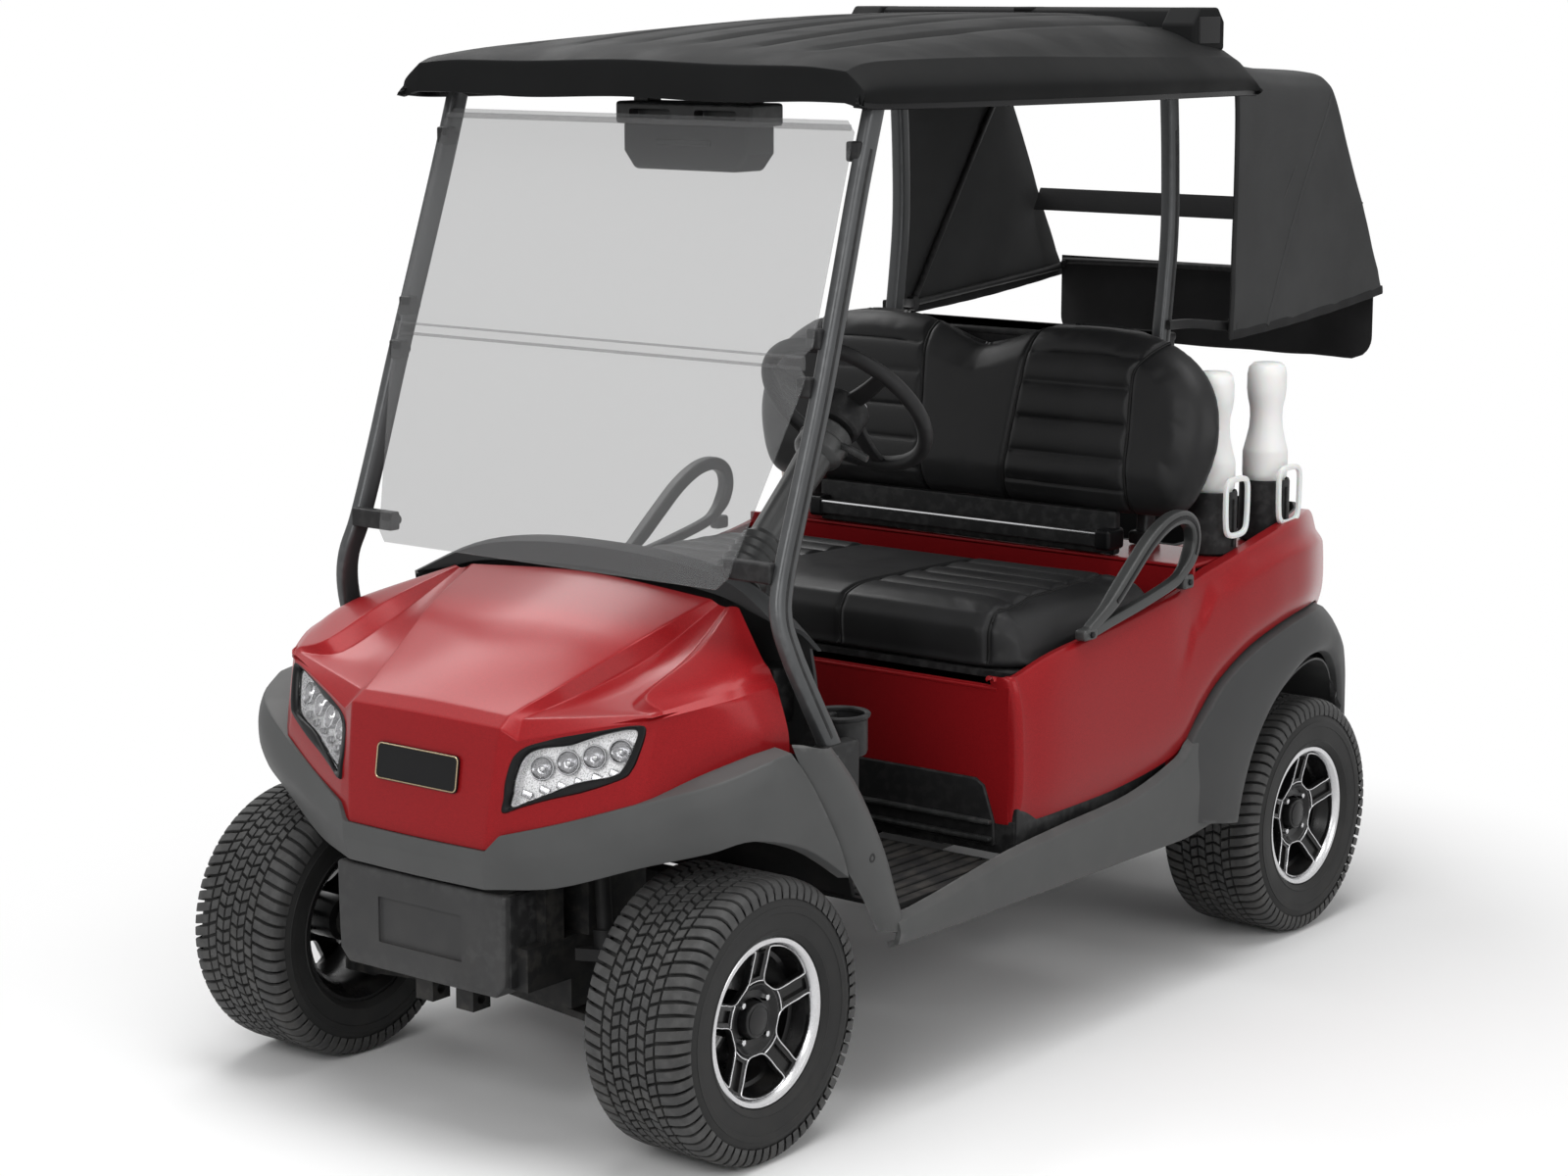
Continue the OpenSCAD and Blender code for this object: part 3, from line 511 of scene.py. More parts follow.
def finish(name, colour, rough, grain, scale, depth, tone=0.12, edge_colour=None, edge_amount=0.5, dust=0.0, gloss=0.5,
           **constants):
    """A surface with grain in its colour, gloss and relief, and with lighter scuffed edges (a painted
    highlight on the armrests) and dust where asked.
    """
    material = bpy.data.materials.new(name)
    material.use_nodes = True
    tree = material.node_tree
    shader = tree.nodes["Principled BSDF"]
    marks = use(tree, GRAINS[grain], Scale=scale)
    darker = tuple(c * (1 - tone) for c in colour) + (1,)
    lighter = tuple(c * (1 + tone) for c in colour) + (1,)
    base = mix(tree, marks["Tone"], darker, lighter)
    # Lighter edges mixed in: scuffs, and a painted highlight where a finish uses them for bright edges.
    if edge_colour:
        base = mix(tree, use(tree, EDGE_WEAR_AND_HIGHLIGHT, Amount=edge_amount)["Mask"], base, edge_colour + (1,))
    shine = spread(tree, marks["Tone"], 0.0, 1.0, rough - 0.05, rough + 0.05)
    if dust:
        film = use(tree, DUST, Amount=dust)["Mask"]
        base = mix(tree, film, base, DUST_COLOUR)
        shine = number(tree, "ADD", shine, number(tree, "MULTIPLY", film, 0.4))
    tree.links.new(base, shader.inputs["Base Color"])
    tree.links.new(shine, shader.inputs["Roughness"])
    bump = put(tree, "Bump", {"Height": marks["Height"], "Strength": 1.0, "Distance": depth / 1000})
    tree.links.new(bump.outputs["Normal"], shader.inputs["Normal"])
    shader.inputs["Specular IOR Level"].default_value = gloss
    for key, value in constants.items():
        shader.inputs[key.replace("_", " ").title().replace("Ior", "IOR")].default_value = value
    return material


def clear_sheet(name, colour, rough, bend, clarity=0.0, cover=1.0):
    """Clear acrylic with a slow change of tint, seen through by its clarity or past its cover."""
    material = bpy.data.materials.new(name)
    material.use_nodes = True
    tree = material.node_tree
    shader = tree.nodes["Principled BSDF"]
    haze = put(tree, "TexNoise", {"Vector": place(tree), "Scale": 4.0, "Detail": 4.0}).outputs["Fac"]
    dim = tuple(c * 0.97 for c in colour)
    tree.links.new(mix(tree, haze, dim + (1,), colour + (1,)), shader.inputs["Base Color"])
    shader.inputs["Roughness"].default_value = rough
    shader.inputs["Transmission Weight"].default_value = clarity
    shader.inputs["Alpha"].default_value = cover
    shader.inputs["IOR"].default_value = bend
    return material


RED = finish("red_gloss", (0.25, 0.0085, 0.011), 0.36, "flakes", 1500.0, 0.004, 0.22, gloss=0.06,
             metallic=0.12, coat_weight=0.5, coat_roughness=0.17, coat_ior=1.26)
GREY = finish("grey_plastic", (0.07, 0.071, 0.071), 0.52, "moulded", 800.0, 0.05, 0.08, (0.12, 0.12, 0.12),
              dust=0.05, gloss=0.18)
# A darker copy of the grey plastic for the wheel-arch flares: painted shade, since the side light lights the
# flares more than the sills.
SHADED_ARCH_GREY = finish("shaded_arch_grey", (0.048, 0.0485, 0.049), 0.54, "moulded", 800.0, 0.05, 0.08, (0.1, 0.1, 0.1),
                   dust=0.04, gloss=0.16)
BLACK = finish("black_plastic", (0.013, 0.013, 0.0135), 0.5, "moulded", 800.0, 0.06, 0.1, (0.05, 0.05, 0.05),
               dust=0.02, gloss=0.2)
SHIELD_BLACK = finish("shield_black", (0.038, 0.038, 0.0385), 0.5, "moulded", 800.0, 0.06, 0.15,
                      (0.08, 0.08, 0.08), dust=0.05, gloss=0.2)
TRIM = finish("black_trim", (0.005, 0.005, 0.0055), 0.3, "moulded", 1200.0, 0.01, 0.2, gloss=0.15)
DASH = finish("dash_plastic", (0.03, 0.031, 0.032), 0.58, "moulded", 900.0, 0.012, 0.12, gloss=0.2)
MAT = finish("floor_mat", (0.011, 0.011, 0.0115), 0.72, "moulded", 500.0, 0.1, 0.25, dust=0.12, gloss=0.2)
VINYL = finish("black_vinyl", (0.0145, 0.0145, 0.015), 0.42, "vinyl", 620.0, 0.04, 0.2, gloss=0.2)
THREAD = finish("seat_piping", (0.004, 0.004, 0.004), 0.5, "weave", 900.0, 0.05, 0.2, gloss=0.2)
STRUT = finish("strut_grey", (0.066, 0.068, 0.07), 0.36, "moulded", 1100.0, 0.012, 0.1, (0.2, 0.2, 0.2),
               metallic=0.5, gloss=0.3)
# The armrest grey's lighter edges are scuffs and also a painted highlight of the bright edges along the
# armrests.
ARM = finish("armrest_grey", (0.028, 0.029, 0.029), 0.38, "moulded", 800.0, 0.04, 0.15, (0.08, 0.08, 0.08),
             gloss=0.4)
ROOF = finish("canopy_black", (0.0078, 0.008, 0.0082), 0.58, "moulded", 600.0, 0.05, 0.12, dust=0.01,
              gloss=0.05)
CANVAS = finish("cover_fabric", (0.046, 0.0465, 0.047), 0.8, "weave", 430.0, 0.06, 0.12, gloss=0.12)
DARK_CANVAS = finish("cover_dark", (0.02, 0.02, 0.0205), 0.8, "weave", 430.0, 0.06, 0.2, gloss=0.12)
CHASSIS = finish("chassis", (0.012, 0.012, 0.0125), 0.52, "moulded", 500.0, 0.05, 0.25, (0.04, 0.038, 0.034),
                 dust=0.05, gloss=0.2)
STEEL = finish("steel", (0.32, 0.32, 0.33), 0.35, "brushed", 700.0, 0.01, 0.15, metallic=1.0, dust=0.2)
BATTERY = finish("battery", (0.012, 0.012, 0.013), 0.55, "moulded", 400.0, 0.1, 0.2, dust=0.2, gloss=0.2)
RUBBER = finish("tyre", (0.0145, 0.0145, 0.0145), 0.58, "moulded", 700.0, 0.06, 0.15, dust=0.02, gloss=0.25)
TREAD = finish("tyre_tread", (0.037, 0.037, 0.037), 0.62, "moulded", 500.0, 0.08, 0.2, (0.07, 0.07, 0.07),
               dust=0.05, gloss=0.35)
MACHINED = finish("rim_alloy", (0.62, 0.62, 0.63), 0.24, "brushed", 900.0, 0.004, 0.08, metallic=1.0)
RIM_BLACK = finish("rim_black", (0.006, 0.006, 0.0065), 0.25, "moulded", 900.0, 0.008, 0.2, gloss=0.3,
                   dust=0.03)
CHROME = finish("lamp_chrome", (0.6, 0.6, 0.61), 0.14, "brushed", 500.0, 0.004, 0.06, metallic=1.0)
REFLECTOR = finish("lamp_silver", (0.74, 0.74, 0.75), 0.3, "brushed", 500.0, 0.004, 0.05, metallic=0.5)
LAMP_CUP = finish("lamp_cup", (0.3, 0.3, 0.31), 0.22, "brushed", 500.0, 0.004, 0.12, metallic=1.0)
LAMP_GLASS = clear_sheet("lamp_lens", (0.97, 0.97, 0.97), 0.0, 1.2, clarity=1.0)
PANE = clear_sheet("clear", (0.17, 0.172, 0.174), 0.06, 1.3, cover=0.295)
RED_LENS = finish("red_lens", (0.3, 0.006, 0.008), 0.15, "brushed", 300.0, 0.02, 0.2, coat_weight=0.8)
BOTTLE = finish("white_plastic", (0.78, 0.78, 0.77), 0.38, "moulded", 600.0, 0.04, 0.04,
                subsurface_weight=0.2)
BRASS = finish("plate_rim", (0.42, 0.34, 0.22), 0.3, "brushed", 900.0, 0.004, 0.1, metallic=1.0)


# Front body
nose_columns = (1, 2, 4, 5)
cowl_rows = [
    [(231, 0, 490), (229, 150, 491), (216, 184, 508), (173, 300, 550), (139, 385, 580), (118, 408, 590),
     (0, 488, 628), (-90, 505, 638)],
    [(223, 0, 570), (220, 155, 571), (215, 178, 559), (173, 288, 595), (140, 373, 622), (122, 398, 632),
     (0, 487, 672), (-90, 502, 676)],
    [(211, 0, 650), (208, 161, 650), (195, 186, 645), (150, 302, 678), (118, 385, 700), (104, 404, 705),
     (0, 474, 722), (-91, 484, 728)],
    [(205, 0, 684), (202, 163, 682), (192, 190, 665), (147, 309, 694), (113, 397, 711), (98, 412, 716),
     (0, 468, 736), (-92, 478, 744)],
    [(178, 0, 702), (176, 160, 699), (166, 178, 694), (136, 268, 704), (102, 384, 718), (92, 402, 724),
     (-12, 456, 747), (-95, 468, 754)],
    [(75, 0, 755), (65, 196, 745), (62, 207, 719), (66, 266, 719), (70, 322, 722), (72, 352, 741),
     (-30, 440, 763), (-100, 456, 767)],
    [(-52, 0, 808), (-49, 234, 794), (-54, 251, 766), (-57, 288, 765), (-62, 316, 768), (-58, 345, 787),
     (-82, 408, 787), (-106, 436, 782)],
    [(-190, 0, 857), (-188, 266, 842), (-189, 280, 835), (-189, 288, 833), (-190, 296, 832), (-191, 304, 834),
     (-194, 312, 834), (-196, 318, 832)]]
lamp_corners = [Vector(p) for p in ((215, 181, 559), (139, 372, 623), (116, 381, 697), (187, 200, 649))]
lamp_out = Vector((0.86, 0.42, 0.3)).normalized()
lens_outline = [(0.03, -0.02), (0, 0.24), (-0.03, 0.49), (-0.04, 0.8), (-0.01, 0.96), (0.08, 1.04),
                (0.29, 1.05), (0.6, 1.09), (0.82, 1.1), (0.92, 1.08), (0.98, 1.02), (1.0, 0.88), (0.99, 0.54),
                (0.96, 0.2),
                (0.88, 0.08), (0.5, 0.07), (0.19, 0.01)]


def on_lamp(u, v, out=0.0):
    a, b, c, d = lamp_corners
    return (a * (1 - u) + b * u) * (1 - v) + (d * (1 - u) + c * u) * v + lamp_out * out


def lamp_ring(grow, out, size=1.0):
    """The lamp's outline, drawn to a size, grown by a length and pushed outward."""
    line = ring([on_lamp(u, v) for u, v in lens_outline], 4)
    centre = sum(line, Vector()) / len(line)
    return [centre + (p - centre) * size + (p - centre).normalized() * grow + lamp_out * out for p in line]


def loft(*rings):
    """Walls between closed lines with the same count of points."""
    count = len(rings[0])
    faces = [[r * count + k, r * count + (k + 1) % count, (r + 1) * count + (k + 1) % count,
              (r + 1) * count + k]
             for r in range(len(rings) - 1) for k in range(count)]
    return [p for line in rings for p in line], faces


def closed_loft(*rings):
    points, faces = loft(*rings)
    count = len(rings[0])
    return points, faces + [list(range(count))[::-1], list(range(len(points) - count, len(points)))]


def make_cowl():
    shell = panel([whole(row) for row in cowl_rows], 5, (-150, 0, 500), per=(5, 5), row_breaks=(3, 4),
                  column_breaks=sorted(7 + s * c for c in nose_columns for s in SIDES), soft=5)
    foot = [whole([(x - 14, y * 0.97, z + rise) for x, y, z in cowl_rows[0]]) for rise in (-62, 16)]
    band = shelled(skin(surface(foot, per=(2, 5), column_breaks=(6, 8), soft=5)), 3, (-150, 0, 500))
    pocket = closed_loft(lamp_ring(4, 60), lamp_ring(4, -60))
    mirror = [mirror_point(p) for p in pocket[0]], pocket[1]
    cowl = Piece("cowl").add(carved(shell, pocket, mirror), RED).add(band, BLACK)
    cowl.done("red_gloss", "front_cowl", sharp=18)


def make_headlamps():
    bezel = loft(lamp_ring(10, -14), lamp_ring(10, 1), lamp_ring(8, 4), lamp_ring(0, 4.5), lamp_ring(-6, 1),
                 lamp_ring(-8, -4), lamp_ring(-8, -14), lamp_ring(10, -14))
    bowl = loft(lamp_ring(-7, -5), lamp_ring(-11, -24), lamp_ring(-12, -27), lamp_ring(-5, -27),
                lamp_ring(-5, -5), lamp_ring(-7, -5))
    bed = closed_loft(lamp_ring(-10, -25), lamp_ring(-10, -22))
    lens = closed_loft(lamp_ring(-8.5, -6), lamp_ring(-8.5, -4), lamp_ring(-10, -2.5),
                       lamp_ring(-7, -1.2, 0.8), lamp_ring(-4, 0, 0.5))
    rims, cups, bulbs, facets = [], [], [], []
    for i in range(4):
        spot = on_lamp(0.19 + 0.218 * i, 0.64, -22)
        rim_line = [(19, 0), (20, 8), (19, 9.5), (17.6, 9), (17, 5), (17, 0)]
        rims.append(turned(rim_line, spot, lamp_out, 32, True))
        cups.append(turned([(17.2, 0), (17.2, 7), (14, 3.5), (8, 1.6), (0, 1.2)], spot, lamp_out, 32))
        bulbs.append(turned([(6, 1), (6, 4), (4.5, 7), (2.5, 8.5), (0, 9)], spot, lamp_out, 20))
    lamp_up = (lamp_corners[3] - lamp_corners[0]).normalized()
    lamp_along = lamp_out.cross(lamp_up).normalized()
    turn = Matrix((lamp_along, lamp_out.cross(lamp_along), lamp_out)).transposed().to_4x4()
    for i in range(6):
        spot = Matrix.Translation(on_lamp(0.13 + 0.142 * i, 0.21, -22)) @ turn
        facets.append(moved(block((-9, -6, 0), (9, 6, 7), 2.5, 2), spot))
    lamps = Piece("headlamp_set").add(both(bezel), TRIM).add(both(join(bowl, bed)), REFLECTOR)
    lamps.add(both(join(*rims)), CHROME).add(both(join(*cups, *facets)), LAMP_CUP)
    lamps.add(both(join(*bulbs)), CHROME).add(both(lens), LAMP_GLASS).done("lamp", "headlamps", sharp=40)


plate_at = (216.7, 0, 600)
plate_tilt = math.radians(-8.4)
plate_frame = Matrix.Translation(plate_at) @ Matrix.Rotation(plate_tilt, 4, "Y")


def rounded_rectangle(wide, high, r, steps=5):
    corners = [(wide - r, high - r), (r - wide, high - r), (r - wide, r - high), (wide - r, r - high)]
    line = []
    for k, (x, y) in enumerate(corners):
        angles = [math.radians(90 * k + 90 * s / steps) for s in range(steps + 1)]
        line += [(x + r * math.cos(a), y + r * math.sin(a)) for a in angles]
    return line


def make_shield():
    outline = [(-186, 420), (-185, 330), (-183, 272), (-164, 251), (164, 251), (183, 272), (185, 330),
               (186, 420)]
    shell = carved(prism(outline, 92, 224, "front", 6, 3), block((60, -173, 258), (214, 173, 500), 6),
                   block((218.5, -92, 298), (240, 92, 374), 2))
    walls = both(block((94, 182, 268), (212, 187.5, 418), 2))
    plate = moved(prism(rounded_rectangle(90, 30, 9), 3.4, 6.2, "front", 0.8), plate_frame)
    edge = [Vector((6.4, y, z)) for y, z in rounded_rectangle(88, 28, 8)]
    rim = moved(swept(edge, oblong(1.6, 1.2, 1, 8), (1, 0, 0), loop=True), plate_frame)
    shield = Piece("shield").add(shell, SHIELD_BLACK).add(walls, BLACK)
    shield.add(plate, TRIM).add(rim, BRASS).done("black_plastic", "front_shield")


bumper_rows = [
    [(196, 0, 428), (194, 142, 429), (188, 164, 430), (158, 252, 442), (112, 374, 484), (66, 466, 512),
     (22, 508, 522), (-80, 524, 488), (-180, 532, 424)],
    [(232, 0, 426), (230, 150, 427), (222, 172, 429), (186, 265, 440), (136, 390, 482), (90, 490, 512),
     (30, 530, 526), (-80, 546, 494), (-180, 554, 428)],
    [(243, 0, 466), (240, 152, 467), (232, 174, 476), (199, 272, 494), (149, 405, 532), (97, 510, 567),
     (25, 552, 590), (-48, 560, 577), (-122, 562, 545)],
    [(238, 0, 490), (236, 156, 491), (225, 178, 518), (188, 270, 544), (137, 402, 588), (86, 500, 622),
     (16, 540, 646), (-8, 545, 652), (-40, 548, 655)],
    [(222, 0, 488), (220, 152, 489), (206, 176, 516), (164, 262, 544), (112, 370, 588), (60, 436, 622),
     (0, 476, 646), (-30, 488, 652), (-60, 494, 655)]]
crease_shares = (0.2, 0.2, 0.2, 0.22, 0.3, 0.4, 0.45, 0.45, 0.45)


def eased(crease, towards):
    """The crease of the bumper drawn towards a row beside it, little at the nose and far at the fender."""
    return [Vector(p).lerp(Vector(q), share) for p, q, share in zip(crease, towards, crease_shares)]


def make_bumper():
    inner, low, crease, high, shelf = bumper_rows
    rows = [whole(row) for row in (inner, low, eased(crease, low), eased(crease, high), high, shelf)]
    shell = panel(rows, 6, (-200, 0, 480), per=(5, 5), row_breaks=(1, 4), column_breaks=(6, 7, 9, 10), soft=5)
    stays = [block((150, s * 176 - 18, 446), (202, s * 176 + 18, 480), 3) for s in SIDES]
    Piece("bumper").add(join(shell, *stays), GREY).done("grey_plastic", "front_bumper", sharp=32)


# Middle and rear body
dash_rows = [
    [(-204, 0, 862), (-204, 160, 857), (-206, 270, 845), (-205, 330, 828)],
    [(-210, 0, 897), (-210, 160, 890), (-210, 290, 866), (-190, 400, 815)],
    [(-245, 0, 902), (-245, 160, 896), (-240, 300, 868), (-215, 430, 806)],
    [(-300, 0, 860), (-300, 170, 856), (-285, 320, 830), (-245, 448, 772)],
    [(-318, 0, 740), (-318, 180, 738), (-305, 330, 722), (-262, 452, 690)],
    [(-300, 0, 600), (-300, 180, 600), (-292, 330, 596), (-268, 452, 600)]]
cup_at = (-276, 462, 598)


def make_dash():
    crest = panel([whole(row) for row in dash_rows], 6, (-100, 0, 700), per=(6, 5), row_breaks=(1, 3), soft=6)
    cuts = [block((-346, s * 500 - 83.4, 560), (-206, s * 500 + 83.4, 770), 2) for s in SIDES]
    pockets = [block((-340, s * 245 - 105, 640), (-262, s * 245 + 105, 722), 12, 3) for s in SIDES]
    shell = carved(crest, *cuts, *pockets)
    bins = [carved(block((-296, s * 245 - 112, 632), (-238, s * 245 + 112, 730), 10),
                   block((-330, s * 245 - 104, 641), (-246, s * 245 + 104, 721), 8)) for s in SIDES]
    tilt = Matrix.Translation((-322, 0, 742)) @ Matrix.Rotation(0.02, 4, "Y")
    centre = moved(prism(rounded_rectangle(92, 62, 14), 0, 7, "front", 2), tilt)
    dial = turned([(26, 0), (26, 5), (23, 7), (20, 5), (0, 5)], (-320, 0, 770), (-1, 0, 0), 40)
    key = turned([(11, 0), (11, 6), (8, 8), (0, 8)], (-320, -48, 722), (-1, 0, 0), 24)
    blade = block((-338, -50, 712), (-327, -46, 732), 1)
    rocker = [block((-330, y - 12, 704), (-316, y + 12, 738), 4) for y in (12, 46)]
    cup_line = [(38, 0), (43, 2), (45, 8), (45, 62), (44, 66), (41.5, 66), (40.5, 63), (40.5, 6), (0, 6)]
    cup = turned(cup_line, cup_at, (0, 0, 1), 56)
    lip_line = [(40.5, 60), (40.5, 67), (43, 69.5), (48, 69.5), (50, 67), (49, 63), (46, 61), (44.5, 58)]
    lip = turned(lip_line, cup_at, (0, 0, 1), 56, True)
    ledge = block((-300, 417, 600), (-236, 440, 660), 4)
    dash = Piece("dash_panel").add(shell, DASH).add(both(join(cup, lip, ledge)), BLACK)
    dash.add(join(centre, dial, *bins), BLACK).add(join(key, blade), STEEL).add(join(*rocker), TRIM)
    dash.done("dash_plastic", "dash", sharp=32)


wheel_at = Vector((-550, 265, 1122))
lean = math.radians(48)
wheel_axis = Vector((-math.sin(lean), 0, math.cos(lean)))


def along_column(distance):
    return wheel_at - wheel_axis * distance


def make_column():
    bellows = [(30 + (6 if k % 2 else 0) + k * 1.2, 300 + k * 9) for k in range(12)]
    shroud = [(0, 61), (38, 61), (42, 65), (43, 108), (40, 114), (31, 122), (29, 180), (28, 296), *bellows,
              (28, 412), (0, 412)]
    tube = turned(shroud, wheel_at, -wheel_axis, 40)
    seam_line = [(43.5, 84), (44.4, 85), (44.4, 87), (43.5, 88), (42, 88), (42, 84)]
    seam = turned(seam_line, wheel_at, -wheel_axis, 40, True)
    reach = [(88, (0, 40, 0)), (90, (0, 66, -6)), (94, (-6, 92, -14))]
    stalk = swept([along_column(down) + Vector(out) for down, out in reach], oblong(6, 5, 0.8, 12), (0, 0, 1))
    Piece("column").add(join(tube, seam, stalk), ARM).done("black_plastic", "steering_column")


def make_pedals():
    shapes, pads = [], []
    for y in (150, 330):
        turn = Matrix.Translation((-372, y, 440)) @ Matrix.Rotation(math.radians(28), 4, "Y")
        pads.append(moved(block((-6, -42, -34), (6, 42, 34), 5, 3), turn))
        pads += [moved(block((-8.5, -36, z - 3), (-5, 36, z + 3), 1.4), turn) for z in range(-24, 25, 12)]
        arm = smooth([(-368, y, 444), (-340, y, 478), (-308, y, 520), (-274, y, 564)], 5)
        shapes += [swept(arm, oblong(9, 6, 0.4, 16)), block((-290, y - 16, 552), (-262, y + 16, 578), 4)]
    Piece("pedal_set").add(join(*shapes), CHASSIS).add(join(*pads), BLACK).done("black_plastic", "pedals")


def make_floor():
    base = block((-676, -532, 332.4), (-340, 532, 341), 2)
    ribs = [block((-664, y - 9, 339), (-352, y + 9, 345), 1.6, 1) for y in range(-495, 496, 30)]
    edge = [block((-676, s * 522 - 10, 338), (-345, s * 522 + 10, 345), 2) for s in SIDES]
    toe = Matrix.Translation((-345, 0, 341)) @ Matrix.Rotation(math.atan2(83, 245), 4, "Y")
    board = moved(block((-4.5, -440, 0), (4.5, 440, 259), 2), toe)
    grips = [moved(block((-8, y - 9, 14), (-3, y + 9, 244), 1.6, 1), toe) for y in range(-405, 406, 30)]
    ledge = block((-308, -300, 584), (-256, 300, 596.6), 3)
    covering = join(base, *ribs, *edge, board, *grips, ledge)
    Piece("floor_covering").add(covering, MAT).done("floor_mat", "floor_pan")


pillar_rows = [(-92, 655, 48), (-140, 590, 60), (-190, 515, 60), (-230, 445, 58), (-270, 375, 46),
               (-302, 312, 40)]
sill_rows = [(-296, 284, 338), (-420, 281, 352), (-580, 280, 374), (-672, 280, 383), (-800, 279, 391),
             (-1000, 279, 403), (-1155, 278, 438), (-1200, 280, 466), (-1290, 290, 480)]
arch_rows = [(170, 312, 462), (162, 312, 500), (154, 313, 522), (146, 314, 501), (137, 315, 484),
             (125, 317, 456), (109, 318, 427), (93, 319, 413), (74, 318, 415), (56, 316, 430), (42, 314, 440),
             (31, 314, 415), (21, 314, 372)]
arch_out = 584
liner_r = 303
arch_bend_from = -1480
arch_bend = 0.00054


def arch_point(r, angle, inset):
    x = x_rear + r * math.cos(math.radians(180 - angle))
    y = arch_out - arch_bend * max(0, arch_bend_from - x) ** 2
    return x, y - inset, tyre_r + r * math.sin(math.radians(angle))


def make_sills():
    rows = [[(x + w, 548, z + 8), (x + w * 0.55, 562, z + 5), (x, 566, z), (x - w * 0.6, 561, z - 5),
             (x - w, 548, z - 8)] for x, z, w in pillar_rows]
    pillar = panel(rows, 9, (-300, 0, 450), per=(5, 5), soft=4)
    rows = [[(x, 548, low), (x, 566, low + 8), (x, 572, low * 0.5 + high * 0.5), (x, 568, high - 10),
             (x, 552, high)] for x, low, high in sill_rows]
    sill = panel(rows, 10, (-700, 0, 330), per=(6, 4), column_breaks=(1, 3), soft=5)
    rows = []
    for a, inner, outer in arch_rows:
        row = [arch_point(inner, a, 30), arch_point(inner + 4, a, 14), arch_point(inner + 18, a, 3),
               arch_point(0.55 * inner + 0.45 * outer, a, 0)]
        for r, proud, share in ((0.25 * inner + 0.75 * outer, 12, 0.5), (outer - 6, 3, 1.0),
                                (outer, -20, 1.0)):
            x, y, z = arch_point(r, a, 5)
            row.append((x, y + (min(y, wing(x) + proud) - y) * share, z))
        rows.append(row)
    arch = panel(rows, 9, (x_rear, 0, tyre_r), per=(5, 4), column_breaks=(1, 5), soft=4)
    rows = []
    for a in range(165, 20, -12):
        x, y, z = arch_point(liner_r, a, 0)
        rows.append([(x, inner, z) for inner in (330, 400, 470)] + [arch_point(liner_r, a, 26)])
    liner = panel(rows, 4, (x_rear, 400, 2000), per=(3, 2))
    plinth = block((-1160, 522, 372), (-680, 534, 436), 3)
    button = turned([(9, 0), (9, 3), (7, 4.5), (4, 4.5), (3, 3), (0, 3)], (-226, 562, 452), (0, 1, 0), 24)
    # The arch flares take the darker copy of the grey plastic, as painted shade.
    sills = Piece("side_sills").add(both(join(pillar, sill)), GREY).add(both(arch), SHADED_ARCH_GREY)
    sills.add(both(join(button, liner, plinth)), BLACK).done("grey_plastic", "sills", sharp=32)


def make_seat_box():
    opening = [(200, 340), (490, 340), (487, 410), (467, 467), (450, 477), (200, 477)]
    plate = carved(block((-684, -518, 406), (-676, 518, 646), 2), prism(opening, -720, -600, "front", 0))
    bead_line = smooth([(-677, y, 640) for y in (-492, 0, 492)], 4)
    bead = swept(bead_line, oblong(3.5, 3, 1, 10), (0, 0, 1))
    base = block((-686, -530, 352), (-678, 530, 412), 2)
    Piece("seat_box").add(join(plate, bead), RED).add(base, BLACK).done("red_gloss", "seat_box_front")


def make_kick_plate():
    outline = [(196, 366), (494, 366), (491, 410), (470, 470), (452, 481), (196, 481)]
    plate = prism(outline, -700, -671, "front", 4, 3)
    ledges = [block((-674, 200, z - 4), (-660, 489, z + 4), 3) for z in (378, 408)]
    Piece("kick_panel").add(plate, BLACK).add(join(*ledges), ARM).done("grey_plastic", "kick_plate")


body_rows = [(-706, 541, 406, 664), (-800, 552, 410, 690), (-1000, 556, 418, 712), (-1172, 560, 446, 736),
             (-1240, 562, 505, 748), (-1300, 565, 556, 761), (-1400, 570, 606, 782), (-1520, 571, 636, 806),
             (-1640, 556, 646, 818), (-1780, 500, 632, 810), (-1920, 424, 590, 776), (-1996, 370, 555, 746),
             (-2056, 318, 520, 716)]


def wing(x):
    """How far out the body's side stands."""
    return read_line(-x, [(-row[0], row[1]) for row in body_rows])


shoulder = [(-2056, 690), (-1850, 748), (-1700, 772), (-1552, 776), (-1421, 764), (-1299, 733), (-1220, 671),
            (-1178, 610), (-1140, 540)]


def behind_shoulder(p):
    """Draws the side in above the shoulder of the rear wing."""
    above = between((p.z - between(p.x, shoulder)) / 30, [(-0.5, 0.0), (0.5, 1.0)])
    return p - Vector((0, 11 * above * between(p.x, [(-1290, 1.0), (-1130, 0.0)]), 0))


def body_section(x, y, low, high, flange):
    return [(x, y - 12, low), (x, y - 2, 0.82 * low + 0.18 * high), (x, y, 0.6 * low + 0.4 * high),
            (x, y - 3, 0.3 * low + 0.7 * high), (x, y - 9, high - 34), (x, y - 17, high - 8),
            (x, y - 24, high), (x, y - flange, high)]


# The rounded front corner of the side: place, how far in, top and flange
corner_rows = [(-677, 46, 660, 24), (-676, 26, 661, 24), (-679, 9, 662, 30), (-688, 1, 663, 34)]


def flange(x):
    return 34 if x > -1250 else 46 if x > -1850 else 30


def make_body_sides():
    rows = [body_section(x, 540 - inset, 406, high, wide) for x, inset, high, wide in corner_rows]
    rows += [body_section(x, y, low, high, flange(x)) for x, y, low, high in body_rows]
    grid = surface(rows, per=(8, 8), column_breaks=(6,), soft=5)
    side = shelled(skin([[behind_shoulder(p) for p in row] for row in grid]), 6, (-1300, 0, 500))
    Piece("body_panels").add(both(side), RED).done("red_gloss", "body_sides", sharp=40)


